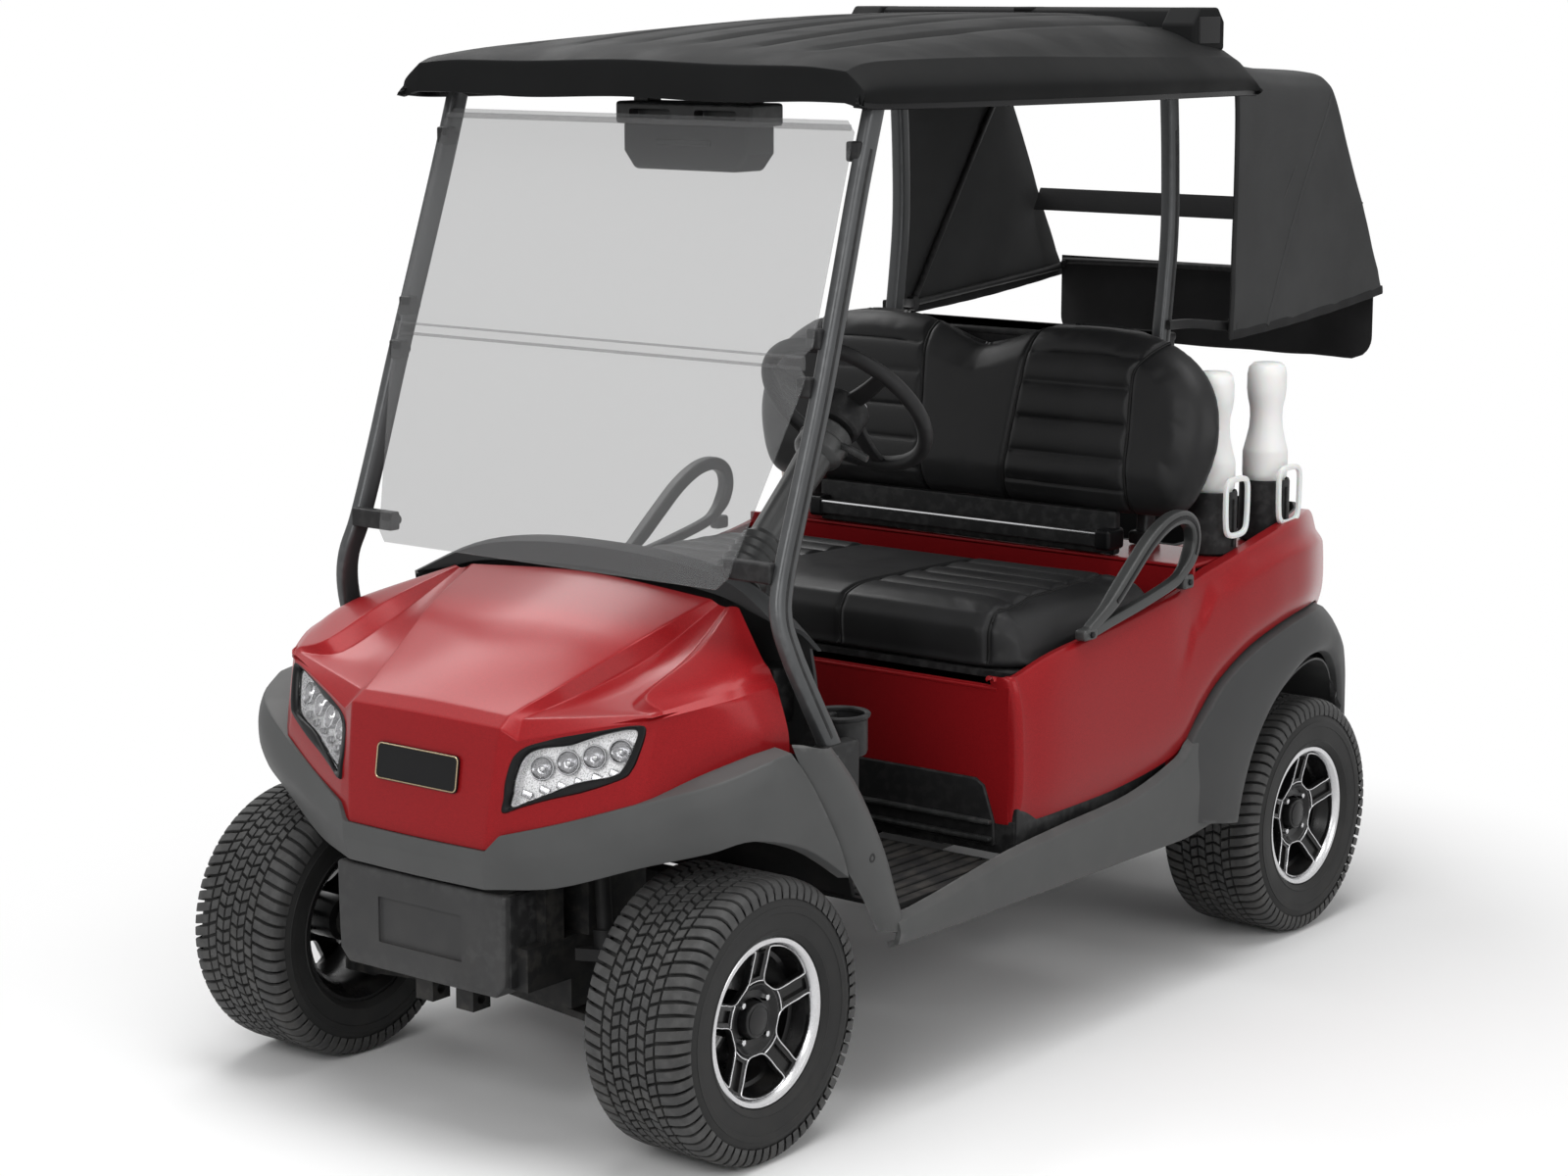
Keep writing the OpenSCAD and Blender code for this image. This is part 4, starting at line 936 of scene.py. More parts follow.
def make_rear_deck():
    wall = block((-1272, -520, 352), (-1262, 520, 774), 3)
    plate = block((-1441.6, -505, 762), (-1262, 505, 774), 5)
    shelves = both(block((-1662, 372, 762), (-1440, 500, 774), 5))
    back = block((-2068, -314, 432), (-2057, 314, 640), 4)
    lugs = both(block((-1262, 330, 690), (-1192, 342, 720), 4))
    deck = Piece("rear_deck_panels").add(join(plate, shelves, back, wall), RED).add(lugs, CHASSIS)
    deck.done("red_gloss", "rear_deck")


def make_bag_well():
    outer = [(-1442, 371.6), (-1880, 371.6), (-1990, 328), (-2056.6, 286)]
    inner = [(-1452, 361), (-1878, 361), (-1985, 319), (-2046, 280)]
    outer, inner = [half + [(x, -y) for x, y in half[::-1]] for half in (outer, inner)]
    tub = carved(prism(outer, 540, 774, "top", 6, 2), prism(inner, 550, 900, "top", 4, 2),
                 *[turned([(118, 500), (118, 600)], (-1900, s * 180, 0), (0, 0, 1), 48) for s in SIDES])
    ribs = [block((-2040, y - 4, 549), (-1460, y + 4, 553), 1.5)
            for y in range(-280, 281, 70) if abs(abs(y) - 180) > 130]
    skirts = both(block((-2054, 276, 426), (-1905, 286, 548), 3))
    Piece("bag_tub").add(join(tub, skirts, *ribs), BLACK).done("black_plastic", "bag_well")


def make_rear_bumper():
    half = [(-2104, 0, 420), (-2098, 280, 420), (-2078, 352, 420), (-2036, 378, 420)]
    line = smooth(whole(half), 6)
    bar = swept(line, [(z, x) for x, z in oblong(13.5, 46, 0.35, 24)], (0, 0, 1))
    grooves = [swept([p + Vector((-13.2, 0, z)) for p in line[6:-6]], oblong(3, 1.6, 1, 8), (0, 0, 1))
               for z in (-20, 0, 20)]
    Piece("rear_bumper_bar").add(bar, GREY).add(join(*grooves), BLACK).done("black_plastic", "rear_bumper")


def make_tail_lamps():
    lens = block((-2076, 240, 564), (-2070, 304, 616), 3, 3)
    rim = carved(block((-2074.5, 236, 560), (-2068.4, 308, 620), 3),
                 block((-2090, 241, 565), (-2060, 303, 615), 2))
    bars = [block((-2077, 244, z - 2), (-2075, 300, z + 2), 0.8) for z in range(572, 613, 9)]
    lamps = Piece("tail_lamp_set").add(both(join(lens, *bars)), RED_LENS).add(both(rim), TRIM)
    lamps.done("red_lens", "tail_lamps")


arm_path = [(-872, 714), (-936, 750), (-1002, 800), (-1064, 846), (-1122, 874), (-1172, 880), (-1206, 864),
            (-1216, 834), (-1204, 802), (-1178, 777), (-1146, 762), (-1050, 742), (-955, 726)]


def make_armrests():
    line = ring([(x, 545, z) for x, z in arm_path], 5)
    sizes = [between(p.z - 714 + (p.x + 872) * 0.155, [(8, 0.72), (40, 1.0)]) for p in line]
    hoop = swept(line, oblong(13, 13, 0.45, 20), loop=True, sizes=sizes)
    groove = swept([p + Vector((0, 12.8, 0)) for p in line[6:40]], oblong(1.4, 4.2, 0.7, 8))
    feet = [block((-892, 531, 701.9), (-852, 556, 722), 6, 3),
            block((-1210, 531, 745.9), (-1176, 556, 772), 6, 3)]
    bolts = [turned([(6, 0), (6, 3.5), (4.5, 5), (0, 5)], (x, 555, z), (0, 1, 0), 6)
             for x, z in ((-872, 712), (-1193, 759))]
    arms = Piece("armrest_hoops").add(both(join(hoop, *feet)), ARM).add(both(join(groove, *bolts)), TRIM)
    arms.done("black_plastic", "armrests")


strut_path = [(-370, 455, 1633), (-327, 456, 1504), (-276, 461, 1350), (-218, 466, 1179), (-166, 466, 1030),
              (-123, 468, 912), (-103, 478, 850), (-112, 492, 790), (-142, 505, 716), (-182, 514, 636),
              (-214, 520, 566)]
rear_path = [(-1478, 314, 1634.8), (-1488, 314, 1500), (-1490, 314, 1350), (-1470, 314, 1180),
             (-1440, 314, 980), (-1424, 314, 775.8)]
clip_at = [(1560, 434), (1272, 434), (1198, 434), (916, 366)]
glass_slope = 0.352


def glass_x(z):
    return -301 + (1504 - z) * glass_slope


def make_struts():
    line = smooth(strut_path, 5)
    tube = swept(line, oblong(20, 12, 0.6, 20), (1, 0, 0))
    groove = swept([p + Vector((0, 11.6, 0)) for p in line[3:-6]], oblong(3.5, 1.2, 0.7, 8), (1, 0, 0))
    foot = block((-238, 500, 552), (-150, 532, 640), 6, 3)
    clips = [block((glass_x(z) - 24, inner, z - 16), (glass_x(z) - 0.4, 462, z + 16), 4, 3)
             for z, inner in clip_at]
    knob_line = [(9, 0), (9.5, 4), (9, 8), (6, 10), (0, 10)]
    knobs = [turned(knob_line, (glass_x(z) - 24, inner + 14, z), (-1, 0, 0), 20) for z, inner in clip_at]
    bolts = [turned([(7, 0), (7, 3), (5, 5), (0, 5)], (x, 528, z), (0, 1, 0), 6)
             for x, z in ((-176, 618), (-206, 574))]
    front = Piece("front_strut_set").add(both(tube), STRUT)
    front.add(both(join(groove, foot, *clips, *knobs)), BLACK)
    front.add(both(join(*bolts)), STEEL).done("strut_grey", "front_struts")
    back = smooth(rear_path, 6)
    post = swept(back, oblong(17, 14, 0.55, 20), (1, 0, 0))
    slot = swept([p + Vector((0, 13.4, 0)) for p in back[4:-4]], oblong(4, 1.2, 0.7, 8), (1, 0, 0))
    collar = block((-1450, 292, 775), (-1398, 336, 800), 6, 3)
    rear = Piece("rear_strut_set").add(both(post), STRUT).add(both(join(slot, collar)), BLACK)
    rear.done("strut_grey", "rear_struts")


def pane(z_low, z_high, half_low, half_high, corner=18):
    right = [(half_low - corner, z_low), (half_low, z_low + corner), (half_high, z_high - corner),
             (half_high - corner, z_high)]
    outline = [(corner - half_low, z_low)] + right + [(-y, z) for y, z in right[:0:-1]]
    points, faces = prism(outline, 0, 5, "front", 0)
    return rounded(([(glass_x(p[2]) + p[0], p[1], p[2]) for p in points], faces), 1.2, 2, 40)


def make_panes():
    upper = pane(1242, 1608, 454, 446)
    lip = [(glass_x(1597) + 6, y, 1597) for y in (-440, 440)]
    strip = swept(smooth(lip, 4), oblong(5, 2.5, 0.6, 12), (0, 0, 1))
    joint = [(glass_x(1236) + 6.5, y, 1236) for y in (-448, 448)]
    hinge = swept(smooth(joint, 4), oblong(11, 2.2, 0.4, 16), (0, 0, 1))
    Piece("upper_pane").add(join(upper, strip, hinge), PANE).done("clear", "windshield_upper", sharp=20)
    Piece("lower_pane").add(pane(884, 1230, 384, 454), PANE).done("clear", "windshield_lower", sharp=20)


canopy_half = 512
canopy_rows = [(-276, .974, 1634, 1638, 1639), (-284, .974, 1640, 1686, 1698), (-330, .98, 1636, 1698, 1714),
               (-440, .992, 1634, 1702, 1730), (-720, 1, 1632, 1702, 1752), (-1026, .992, 1630, 1696, 1766),
               (-1360, .934, 1628, 1690, 1768), (-1530, .885, 1626, 1684, 1756),
               (-1572, .88, 1624, 1660, 1690), (-1582, .878, 1622, 1632, 1640)]


def fluted(p):
    """Wide raised strips along the roof with shallow valleys between them."""
    fade = clamped((-360 - p.x) / 90) * clamped((p.x + 1500) / 70)
    ways = 1 - 0.1 * max(0, -p.x - 700) / 800
    valley = sum(math.exp(-((abs(p.y) - y * ways) / 12) ** 4) for y in (66, 198, 324))
    return p + Vector((0, 0, -9 * valley * fade))


def make_canopy():
    rows = []
    for x, wide, lip, side, crown in canopy_rows:
        w = canopy_half * wide
        rows.append(whole([(x, 0, crown), (x, .42 * w, crown - 5), (x, .76 * w, .55 * crown + .45 * side),
                           (x, .93 * w, side), (x, w, (lip + side) / 2 - 6), (x, .992 * w, lip)]))
    grid = surface(rows, per=(6, 11), row_breaks=(1,), column_breaks=(2, 8), soft=8)
    roof = shelled(skin([[fluted(p) for p in row] for row in grid]), 8, (-900, 0, 1400))
    lip = []
    for x, wide, low, side, crown in canopy_rows[1:-1]:
        outward = 6 if x > -300 else -6 if x < -1500 else 0
        lip.append((x + outward, 500 * wide, low - 2))
    seal = both(swept(smooth(lip, 5), oblong(5, 8, 0.5, 12), (0, 1, 0)))
    beam_line = [(-1506, 1722), (-1510, 1752), (-1496, 1774), (-1470, 1778), (-1452, 1772), (-1444, 1750),
                 (-1444, 1722)]
    beam = prism(beam_line, -336, 336, "side", 3)
    pod_line = [(-1530, 1700), (-1530, 1752), (-1508, 1778), (-1446, 1778), (-1420, 1748), (-1420, 1700)]
    pods = both(prism(pod_line, 330, 400, "side", 5, 3))
    caps = both(block((-1512, 396, 1712), (-1438, 402, 1762), 3))
    knob = block((-1500, -22, 1768), (-1450, 22, 1778), 4, 3)
    canopy = Piece("canopy_roof").add(join(roof, beam, pods, knob), ROOF).add(join(caps, seal), TRIM)
    canopy.done("canopy_black", "canopy", sharp=32)


def make_console():
    front = [(-136, 1590), (-136, 1540), (-112, 1510), (112, 1510), (136, 1540), (136, 1590)]
    drawer = prism(front, -520, -442, "front", 7, 3)
    pull = block((-444, -60, 1552), (-436, 60, 1562), 3)
    slots = [block((-462, s * 72 - 46, 1596), (-400, s * 72 + 46, 1612), 5) for s in SIDES]
    tray = carved(block((-526, -150, 1586), (-438, 150, 1624), 6, 3), *slots)
    ears = both(block((-500, 96, 1615), (-462, 130, 1716), 5))
    console = Piece("console").add(join(drawer, pull), BLACK).add(join(tray, ears), ARM)
    console.done("black_plastic", "roof_console")


# Seats
pad_voxel = 8
stuffing_pressure = 4
stuffing_frames = 20


def blown_up(shape, cap, pinned):
    """Swells a pad as stuffed vinyl does: an even mesh, cloth under pressure, a cap on each move."""
    points, faces = with_modifiers(shape, ("REMESH", {"mode": "VOXEL", "voxel_size": pad_voxel}))
    mesh = bpy.data.meshes.new("pad")
    mesh.from_pydata([p / 1000 for p in points], [], faces)
    pad = bpy.data.objects.new("pad", mesh)
    scene.collection.objects.link(pad)
    held = pad.vertex_groups.new(name="held")
    held.add([i for i, p in enumerate(points) if pinned(p)], 1.0, "REPLACE")
    cloth = pad.modifiers.new("stuffing", "CLOTH")
    cloth.settings.use_pressure = True
    cloth.settings.uniform_pressure_force = stuffing_pressure
    cloth.settings.effector_weights.gravity = 0
    cloth.settings.vertex_group_mass = "held"
    cloth.point_cache.frame_start, cloth.point_cache.frame_end = 1, stuffing_frames
    for step in range(1, stuffing_frames + 1):
        scene.frame_set(step)
    blown = pad.evaluated_get(bpy.context.evaluated_depsgraph_get()).data
    moves = [v.co * 1000 - p for v, p in zip(blown.vertices, points)]
    points = [p + m * min(1, cap / max(m.length, 1e-6)) for p, m in zip(points, moves)]
    scene.frame_set(1)
    bpy.data.objects.remove(pad)
    bpy.data.meshes.remove(mesh)
    return with_modifiers((points, faces), ("SMOOTH", {"factor": 0.5, "iterations": 3}),
                          ("SUBSURF", {"levels": 1, "render_levels": 1}))


def sewn(shape, depth):
    """Draws the surface in or out by the depth asked for at each place."""
    mesh = to_bmesh(shape)
    bmesh.ops.recalc_face_normals(mesh, faces=mesh.faces)
    mesh.normal_update()
    moves = [v.normal * depth(v.co, v.normal) for v in mesh.verts]
    for v, move in zip(mesh.verts, moves):
        v.co += move
    return from_bmesh(mesh)


def pleat(value, seams, deep=8.0, proud=2.0):
    """Height of a padded roll between one sewn line and the next."""
    for a, b in zip(seams, seams[1:]):
        if a <= value <= b:
            return (deep + proud) * math.sin(math.pi * (value - a) / (b - a)) ** 0.55 - deep
    return 0.0


def on_surface(shape, starts, way, lift):
    """Points where rays from the starts meet the shape, lifted off it."""
    tree = BVHTree.FromPolygons([Vector(p) for p in shape[0]], shape[1])
    way = Vector(way).normalized()
    hits = [tree.ray_cast(Vector(s), way) for s in starts]
    return [hit[0] - way * lift for hit in hits if hit[0]]


back_outline = [(0, 866), (120, 863), (240, 862), (430, 864), (484, 880), (516, 940), (530, 1010),
                (516, 1090), (470, 1150), (390, 1192), (268, 1215), (150, 1205), (60, 1176), (0, 1162)]
back_lean = math.radians(12)
back_low = 862
back_half = 530
back_foot = Vector((-1236, 0, back_low))
back_up = Vector((-math.sin(back_lean), 0, math.cos(back_lean)))
back_out = Vector((math.cos(back_lean), 0, math.sin(back_lean)))
back_seams = [37, 97, 163, 230, 289, 352]
back_parting = -58
back_rounding = 66


def on_back(y, h, out):
    return back_foot + Vector((0, y, 0)) + back_up * h + back_out * out


def back_inner(h):
    return 93 + 30 * h / 333


def back_outer(h):
    return between(h, [(0, 372), (120, 366), (250, 360), (345, 408)])


def back_shape(shrink=8):
    """The pad's closed form: a crowned front and a flatter back that meet at its outline."""
    half = smooth([(y, z - back_low, 0) for y, z in back_outline], 6)
    line = half + [Vector((-p.x, p.y, 0)) for p in half[-2:0:-1]]
    segments = list(zip(line, line[1:] + line[:1]))

    def edge_distance(y, h):
        p = Vector((y, h, 0))
        return min((p - a - (b - a) * clamped((p - a).dot(b - a) / (b - a).length_squared)).length
                   for a, b in segments)

    split = max(range(len(half)), key=lambda i: half[i].x)
    low = [(p.x, p.y) for p in half[:split + 1]]
    high = [(p.x, p.y) for p in half[split:]][::-1]
    columns, rows = 90, 26
    front, rear = [], []
    for i in range(columns + 1):
        y = back_half * math.sin(math.pi / 2 * (2 * i / columns - 1))
        bottom, top = read_line(abs(y), low), read_line(abs(y), high)
        for j in range(rows + 1):
            h = bottom + (top - bottom) * (0.5 - 0.5 * math.cos(math.pi * j / rows))
            edge = min(edge_distance(y, h) / back_rounding, 1)
            crown = math.sqrt(max(0, 1 - (1 - edge) ** 2))
            front.append(on_back(y, h, back_parting - (back_parting + shrink) * crown))
            rear.append(on_back(y, h, back_parting - 24 * crown))
    count = len(front)
    faces = skin([front[k:k + rows + 1] for k in range(0, count, rows + 1)])[1]
    mesh = to_bmesh((front + rear, faces + [[count + i for i in side[::-1]] for side in faces]))
    bmesh.ops.remove_doubles(mesh, verts=mesh.verts, dist=0.05)
    return from_bmesh(mesh)


def sewn_back(p, normal):
    h, y = (p - back_foot).dot(back_up), abs(p.y)
    if normal.dot(back_out) < 0.1:
        return 0.0
    inner, outer = back_inner(h), back_outer(h)
    inside = between(min(y - inner, outer - y), [(0, 0.0), (14, 1.0)])
    nearest = min(abs(y - inner), abs(y - outer))
    notch = -5 * math.exp(-(p.y / 60) ** 2 - ((h - 320) / 70) ** 2)
    sewn_line = 5 * math.exp(-(nearest / 5) ** 2) if h < back_seams[-1] else 0
    return pleat(h, back_seams) * inside - sewn_line + notch


def make_seat_back():
    pad = sewn(blown_up(back_shape(), 3, lambda p: (p - back_foot).dot(back_out) < -50), sewn_back)
    cords = []
    for seam in (back_inner, back_outer):
        starts = [on_back(seam(h), h, 120) for h in range(4, 352, 8)]
        line = on_surface(pad, starts, -back_out, 0.5)
        cords.append(swept(line, oblong(3.2, 3.2, 1, 8)))
    seat_back = Piece("seat_back_pad").add(pad, VINYL).add(both(join(*cords)), THREAD)
    seat_back = seat_back.done("black_vinyl", "seat_back", sharp=60)
    outline = [(y * 0.96, (z - back_low) * 0.96 + 8) for y, z in back_outline]
    outline = outline + [(-y, h) for y, h in outline[-2:0:-1]]
    plate = prism(outline, -95.5, -84.5, "front", 3)
    plate = [on_back(p[1], p[2], p[0]) for p in plate[0]], plate[1]
    bar = block((-1290, -330, 792), (-1242, 330, 818), 3)
    edge = block((-1247, -326, 813), (-1240.5, 326, 819.5), 2)
    pads = both(block((-1294, 318, 786), (-1238, 352, 826), 7, 3))
    posts = both(block((-1356, 214, 774.5), (-1289, 262, 880), 5))
    hip = block((-1290, -345, 775), (-1270, 345, 856), 4)
    holder = Piece("seat_back_carrier").add(join(plate, bar, posts, hip), BLACK)
    holder.add(edge, CHROME).add(pads, TRIM).done("black_plastic", "seat_back_frame")


cushion_side = [(-706, 664), (-692, 680), (-688, 720), (-694, 750), (-712, 766), (-745, 772), (-1144, 766),
                (-1172, 758), (-1182, 738), (-1182, 664)]
cushion_seams = [-1152, -1084, -1016, -948, -880, -812]
cushion_low = 664
cushion_half = 508
cushion_inner = 132
cushion_columns = 60


def cushion_outer(x):
    return between(x, [(-1160, 402), (-900, 424), (-700, 448)])


def cushion_shape(shrink=9):
    line = smooth([(x, z, 0) for x, z in cushion_side], 4)
    rows = []
    for i in range(cushion_columns + 1):
        y = cushion_half * math.sin(math.pi / 2 * (2 * i / cushion_columns - 1))
        k = max(0, (abs(y) - 408) / 100)
        low = math.sqrt(max(0, 1 - 0.86 * max(0, (abs(y) - 448) / 60) ** 2))
        back = 74 * (1 - math.sqrt(max(0, 1 - k * k)))
        row = []
        for p in line:
            x = p.x - back * clamped((p.x + 1100) / 380) - (0.6 * shrink if p.x > -720 else 0)
            row.append((x, y, cushion_low + (p.y - cushion_low) * low - (shrink if p.y > 740 else 0)))
        rows.append(row)
    points, faces = skin(rows)
    wide = len(rows[0])
    faces += [[i * wide, i * wide + wide - 1, (i + 1) * wide + wide - 1, (i + 1) * wide]
              for i in range(cushion_columns)]
    faces += [list(range(wide)), list(range(cushion_columns * wide, len(points)))[::-1]]
    return points, faces


def sewn_cushion(p, normal):
    y = abs(p.y)
    if normal.z < -0.3 or p.x < -1165:
        return 0.0
    outer = cushion_outer(p.x)
    inside = between(min(y - cushion_inner, outer - y), [(0, 0.0), (14, 1.0)])
    nearest = min(abs(y - cushion_inner), abs(y - outer))
    rolls = 0
    if normal.z > 0.5:
        front = -3 * math.exp(-((p.x - cushion_seams[-1]) / 6) ** 2)
        rolls = (pleat(p.x, cushion_seams) + front) * inside
    return rolls - 5 * math.exp(-(nearest / 5) ** 2)


def make_cushion():
    pad = sewn(blown_up(cushion_shape(), 10, lambda p: p.z < cushion_low + 8), sewn_cushion)
    cords = []
    for seam in (lambda x: cushion_inner, cushion_outer):
        over = [(x, seam(x), 900) for x in range(-1150, -702, 8)]
        top = on_surface(pad, over, (0, 0, -1), 0.5)
        ahead = [(-600, seam(-700), z) for z in range(744, 668, -8)]
        cords.append(swept(top + on_surface(pad, ahead, (-1, 0, 0), 0.5), oblong(3.2, 3.2, 1, 8)))
    cushion = Piece("cushion", "seat").add(pad, VINYL).add(both(join(*cords)), THREAD)
    cushion = cushion.done("black_vinyl", "seat_cushion", sharp=60)


# Bag cover
cover_front = -1590
cover_half = 393
cover_rows = [(0, 1690, 1662, -1950), (.5, 1688, 1659, -1950), (.84, 1682, 1652, -1949),
              (.96, 1662, 1634, -1958), (1, 1606, 1580, -1987), (1.005, 1400, 1390, -2091),
              (1, 1155, 1200, -2195)]


def cover_grid():
    rows = []
    for share, front, rear, x_back in cover_rows:
        rows.append([(cover_front + (x_back - cover_front) * t, cover_half * share,
                      front + (rear - front) * t - 6 * math.sin(math.pi * t))
                     for t in (0, 0.25, 0.5, 0.75, 1)])
    return surface([[mirror_point(p) for p in row] for row in rows[:0:-1]] + rows, per=(9, 12))


def slack(p):
    """Cloth drawn between its bows: a hollow along each panel and small folds towards the hem."""
    side = clamped((1640 - p.z) / 120) if abs(p.y) > 370 else 0
    along = math.sin(math.pi * clamped((cover_front - p.x) / 520))
    hollow = 9 * side * along * math.sin(math.pi * clamped((1640 - p.z) / 470))
    folds = 2.2 * side * math.sin(p.x / 26 + p.z / 61) * clamped((1480 - p.z) / 260)
    sag = 5 * (1 - side) * along * math.cos(p.y / 250) if abs(p.y) < 370 else 0
    return p + Vector((0, -math.copysign(hollow + folds, p.y) if side else 0, -sag))


def cover_seam(grid_shape):
    """A raised, stitched seam from the rear top corner to the hem."""
    starts = [Vector((-1968, 700, 1616)).lerp(Vector((-1722, 700, 1160)), k / 40) for k in range(41)]
    return on_surface(grid_shape, starts, (0, -1, 0), 0.6)


def length(line):
    return sum((b - a).length for a, b in zip(line, line[1:]))


def skin_area(a, b, c, d):
    return ((b - a).cross(c - a).length + (c - a).cross(d - a).length) / 2


def rear_edge(z):
    return -1949 - (1651 - z) * 0.5455


def make_cover():
    grid = [[slack(p) for p in row] for row in cover_grid()]
    cloth = shelled(skin(grid), 3, (-1750, 0, 1300))
    ridge = swept(cover_seam(cloth), oblong(5, 1.6, 0.8, 10), (1, 0, 0))
    edges = [[p + Vector((0, -math.copysign(1.5, p.y), 6)) for p in edge] for edge in (grid[0], grid[-1])]
    hems = [swept(edge, oblong(9, 2.6, 0.6, 12), (0, 0, 1)) for edge in edges]
    front_edge = swept([row[0] + Vector((-4, 0, 0)) for row in grid], oblong(7, 2.6, 0.6, 12), (1, 0, 0))
    strap_line = smooth([(rear_edge(1366) + 14, y, 1366) for y in (-390, -200, 0, 200, 390)], 5)
    strap = swept(strap_line, oblong(26, 1.4, 0.3, 12), (-0.479, 0, 0.878))
    cover = Piece("bag_cover_cloth").add(cloth, CANVAS).done("cover_fabric", "bag_cover", sharp=50)
    trim = Piece("cover_hems").add(both(ridge), CANVAS).add(join(*hems, front_edge, strap), DARK_CANVAS)
    trim = trim.done("cover_fabric", sharp=50)
    area = sum(skin_area(grid[i][k], grid[i][k + 1], grid[i + 1][k + 1], grid[i + 1][k])
               for i in range(len(grid) - 1) for k in range(len(grid[0]) - 1)) / 1e6
    wide = max(length(column) for column in turned_over(grid)) / 1000
    long = max(length(row) for row in grid) / 1000


curtain_x = -2178
curtain_top = 1240
curtain_half = 380
curtain_corner = 1110


def make_curtain():
    rows = []
    for i in range(23):
        z = curtain_top - 8 * i
        round_off = 1 - math.sqrt(max(0, 1 - (max(0, curtain_corner - z) / 46) ** 2))
        half = curtain_half - 44 * round_off
        fullness = 5 * (i / 22) ** 1.4
        rows.append([(curtain_x + fullness * math.sin(k / 60 * math.pi * 9), half * (k / 30 - 1), z)
                     for k in range(61)])
    flap = shelled(skin([[Vector(p) for p in row] for row in rows]), 3, (-1000, 0, 1150))
    curtain = Piece("curtain").add(flap, DARK_CANVAS).done("cover_dark", "cover_curtain", sharp=50)


def make_bows():
    pivot = Vector((-1622, 379.4, 1176))
    rods = []
    for x, z in ((-1934, 1616), (-2166, 1215)):
        tip = Vector((x, pivot.y, z))
        line = [pivot, pivot.lerp(tip, 0.9), tip + Vector((0, -14, 10)), (x - 4, 340, z + 14),
                (x - 6, 0, z + 18)]
        rods.append(swept(smooth(line, 6), oblong(7, 7, 1, 12), (0, 0, 1)))
    stay = [(-1462, 332.6, 1188), (-1530, 340, 1186), (-1600, 372, 1178), (-1622, 376, 1176)]
    bracket = swept(smooth(stay, 5), oblong(9, 5, 0.5, 12), (0, 0, 1))
    knob = turned([(14, -8), (15, -5), (15, 5), (14, 8), (9, 12), (0, 12)], pivot, (0, 1, 0), 24)
    Piece("cover_bows").add(both(join(*rods, bracket, knob)), BLACK).done("black_plastic", "cover_frame")


# Bottles and basket
bottle_at = [(-1412, 466), (-1606, 466)]


def make_bottles():
    body = [(0, 823), (30, 823), (36, 828), (38, 838), (38, 892), (42, 898), (43, 906), (43, 944),
            (41.5, 951), (37, 968), (32, 990), (30.5, 1012), (31.5, 1030), (35.5, 1048), (37.5, 1064),
            (37.5, 1092), (34.5, 1106), (26, 1114), (0, 1116)]
    cup = [(0, 775), (44, 775), (48, 779), (48, 888), (46.5, 893), (43.5, 893), (42.5, 888), (42.5, 822),
           (0, 822)]
    half = [(0, 918), (26, 916), (37, 906), (39, 882), (38, 846), (34, 824), (22, 815), (0, 813)]
    handle = half + [(-a, z) for a, z in half[-2:0:-1]]
    bottles, holders = [], []
    for x, y in bottle_at:
        for s in SIDES:
            at = (x, s * y, 0)
            bottles.append(turned(body, at, (0, 0, 1), 40))
            holders.append(turned(cup, at, (0, 0, 1), 40))
            loop = ring([(x + a, s * (y + 54), z) for a, z in handle], 3)
            bottles.append(swept(loop, oblong(4.5, 5.5, 0.6, 10), (0, 1, 0), loop=True))
            spout = [(x, s * y, 1092), (x - 22, s * (y + 4), 1098), (x - 40, s * (y + 7), 1106)]
            bottles.append(swept(spout, oblong(15, 11, 0.8, 16), sizes=[1, 0.9, 0.55]))
            near, far = sorted((s * y, s * (y + 52)))
            holders.append(block((x - 4, near, 790), (x + 4, far, 880), 2))
    sand = Piece("bottles").add(join(*bottles), BOTTLE).add(join(*holders), BLACK)
    sand.done("white_plastic", "sand_bottles", sharp=40)


def make_basket():
    shell = carved(block((-1548, -299.8, 940), (-1405, 299.8, 1165), 12, 3),
                   block((-1540, -292, 948), (-1413, 292, 1300), 10))
    slots = [block((-1600, y - 16, z), (-1350, y + 16, z + 52), 8)
             for y in range(-240, 241, 60) for z in (974, 1052)]
    rim = carved(block((-1549, -299.8, 1150), (-1404, 299.8, 1166), 6, 3),
                 block((-1540, -292, 1100), (-1413, 292, 1300), 8))
    Piece("basket").add(join(carved(shell, *slots), rim), BLACK).done("black_plastic", "rear_basket")


# Steering wheel
wheel_r = 148
wheel_steps = 96
wheel_spokes = (180, 305, 55)


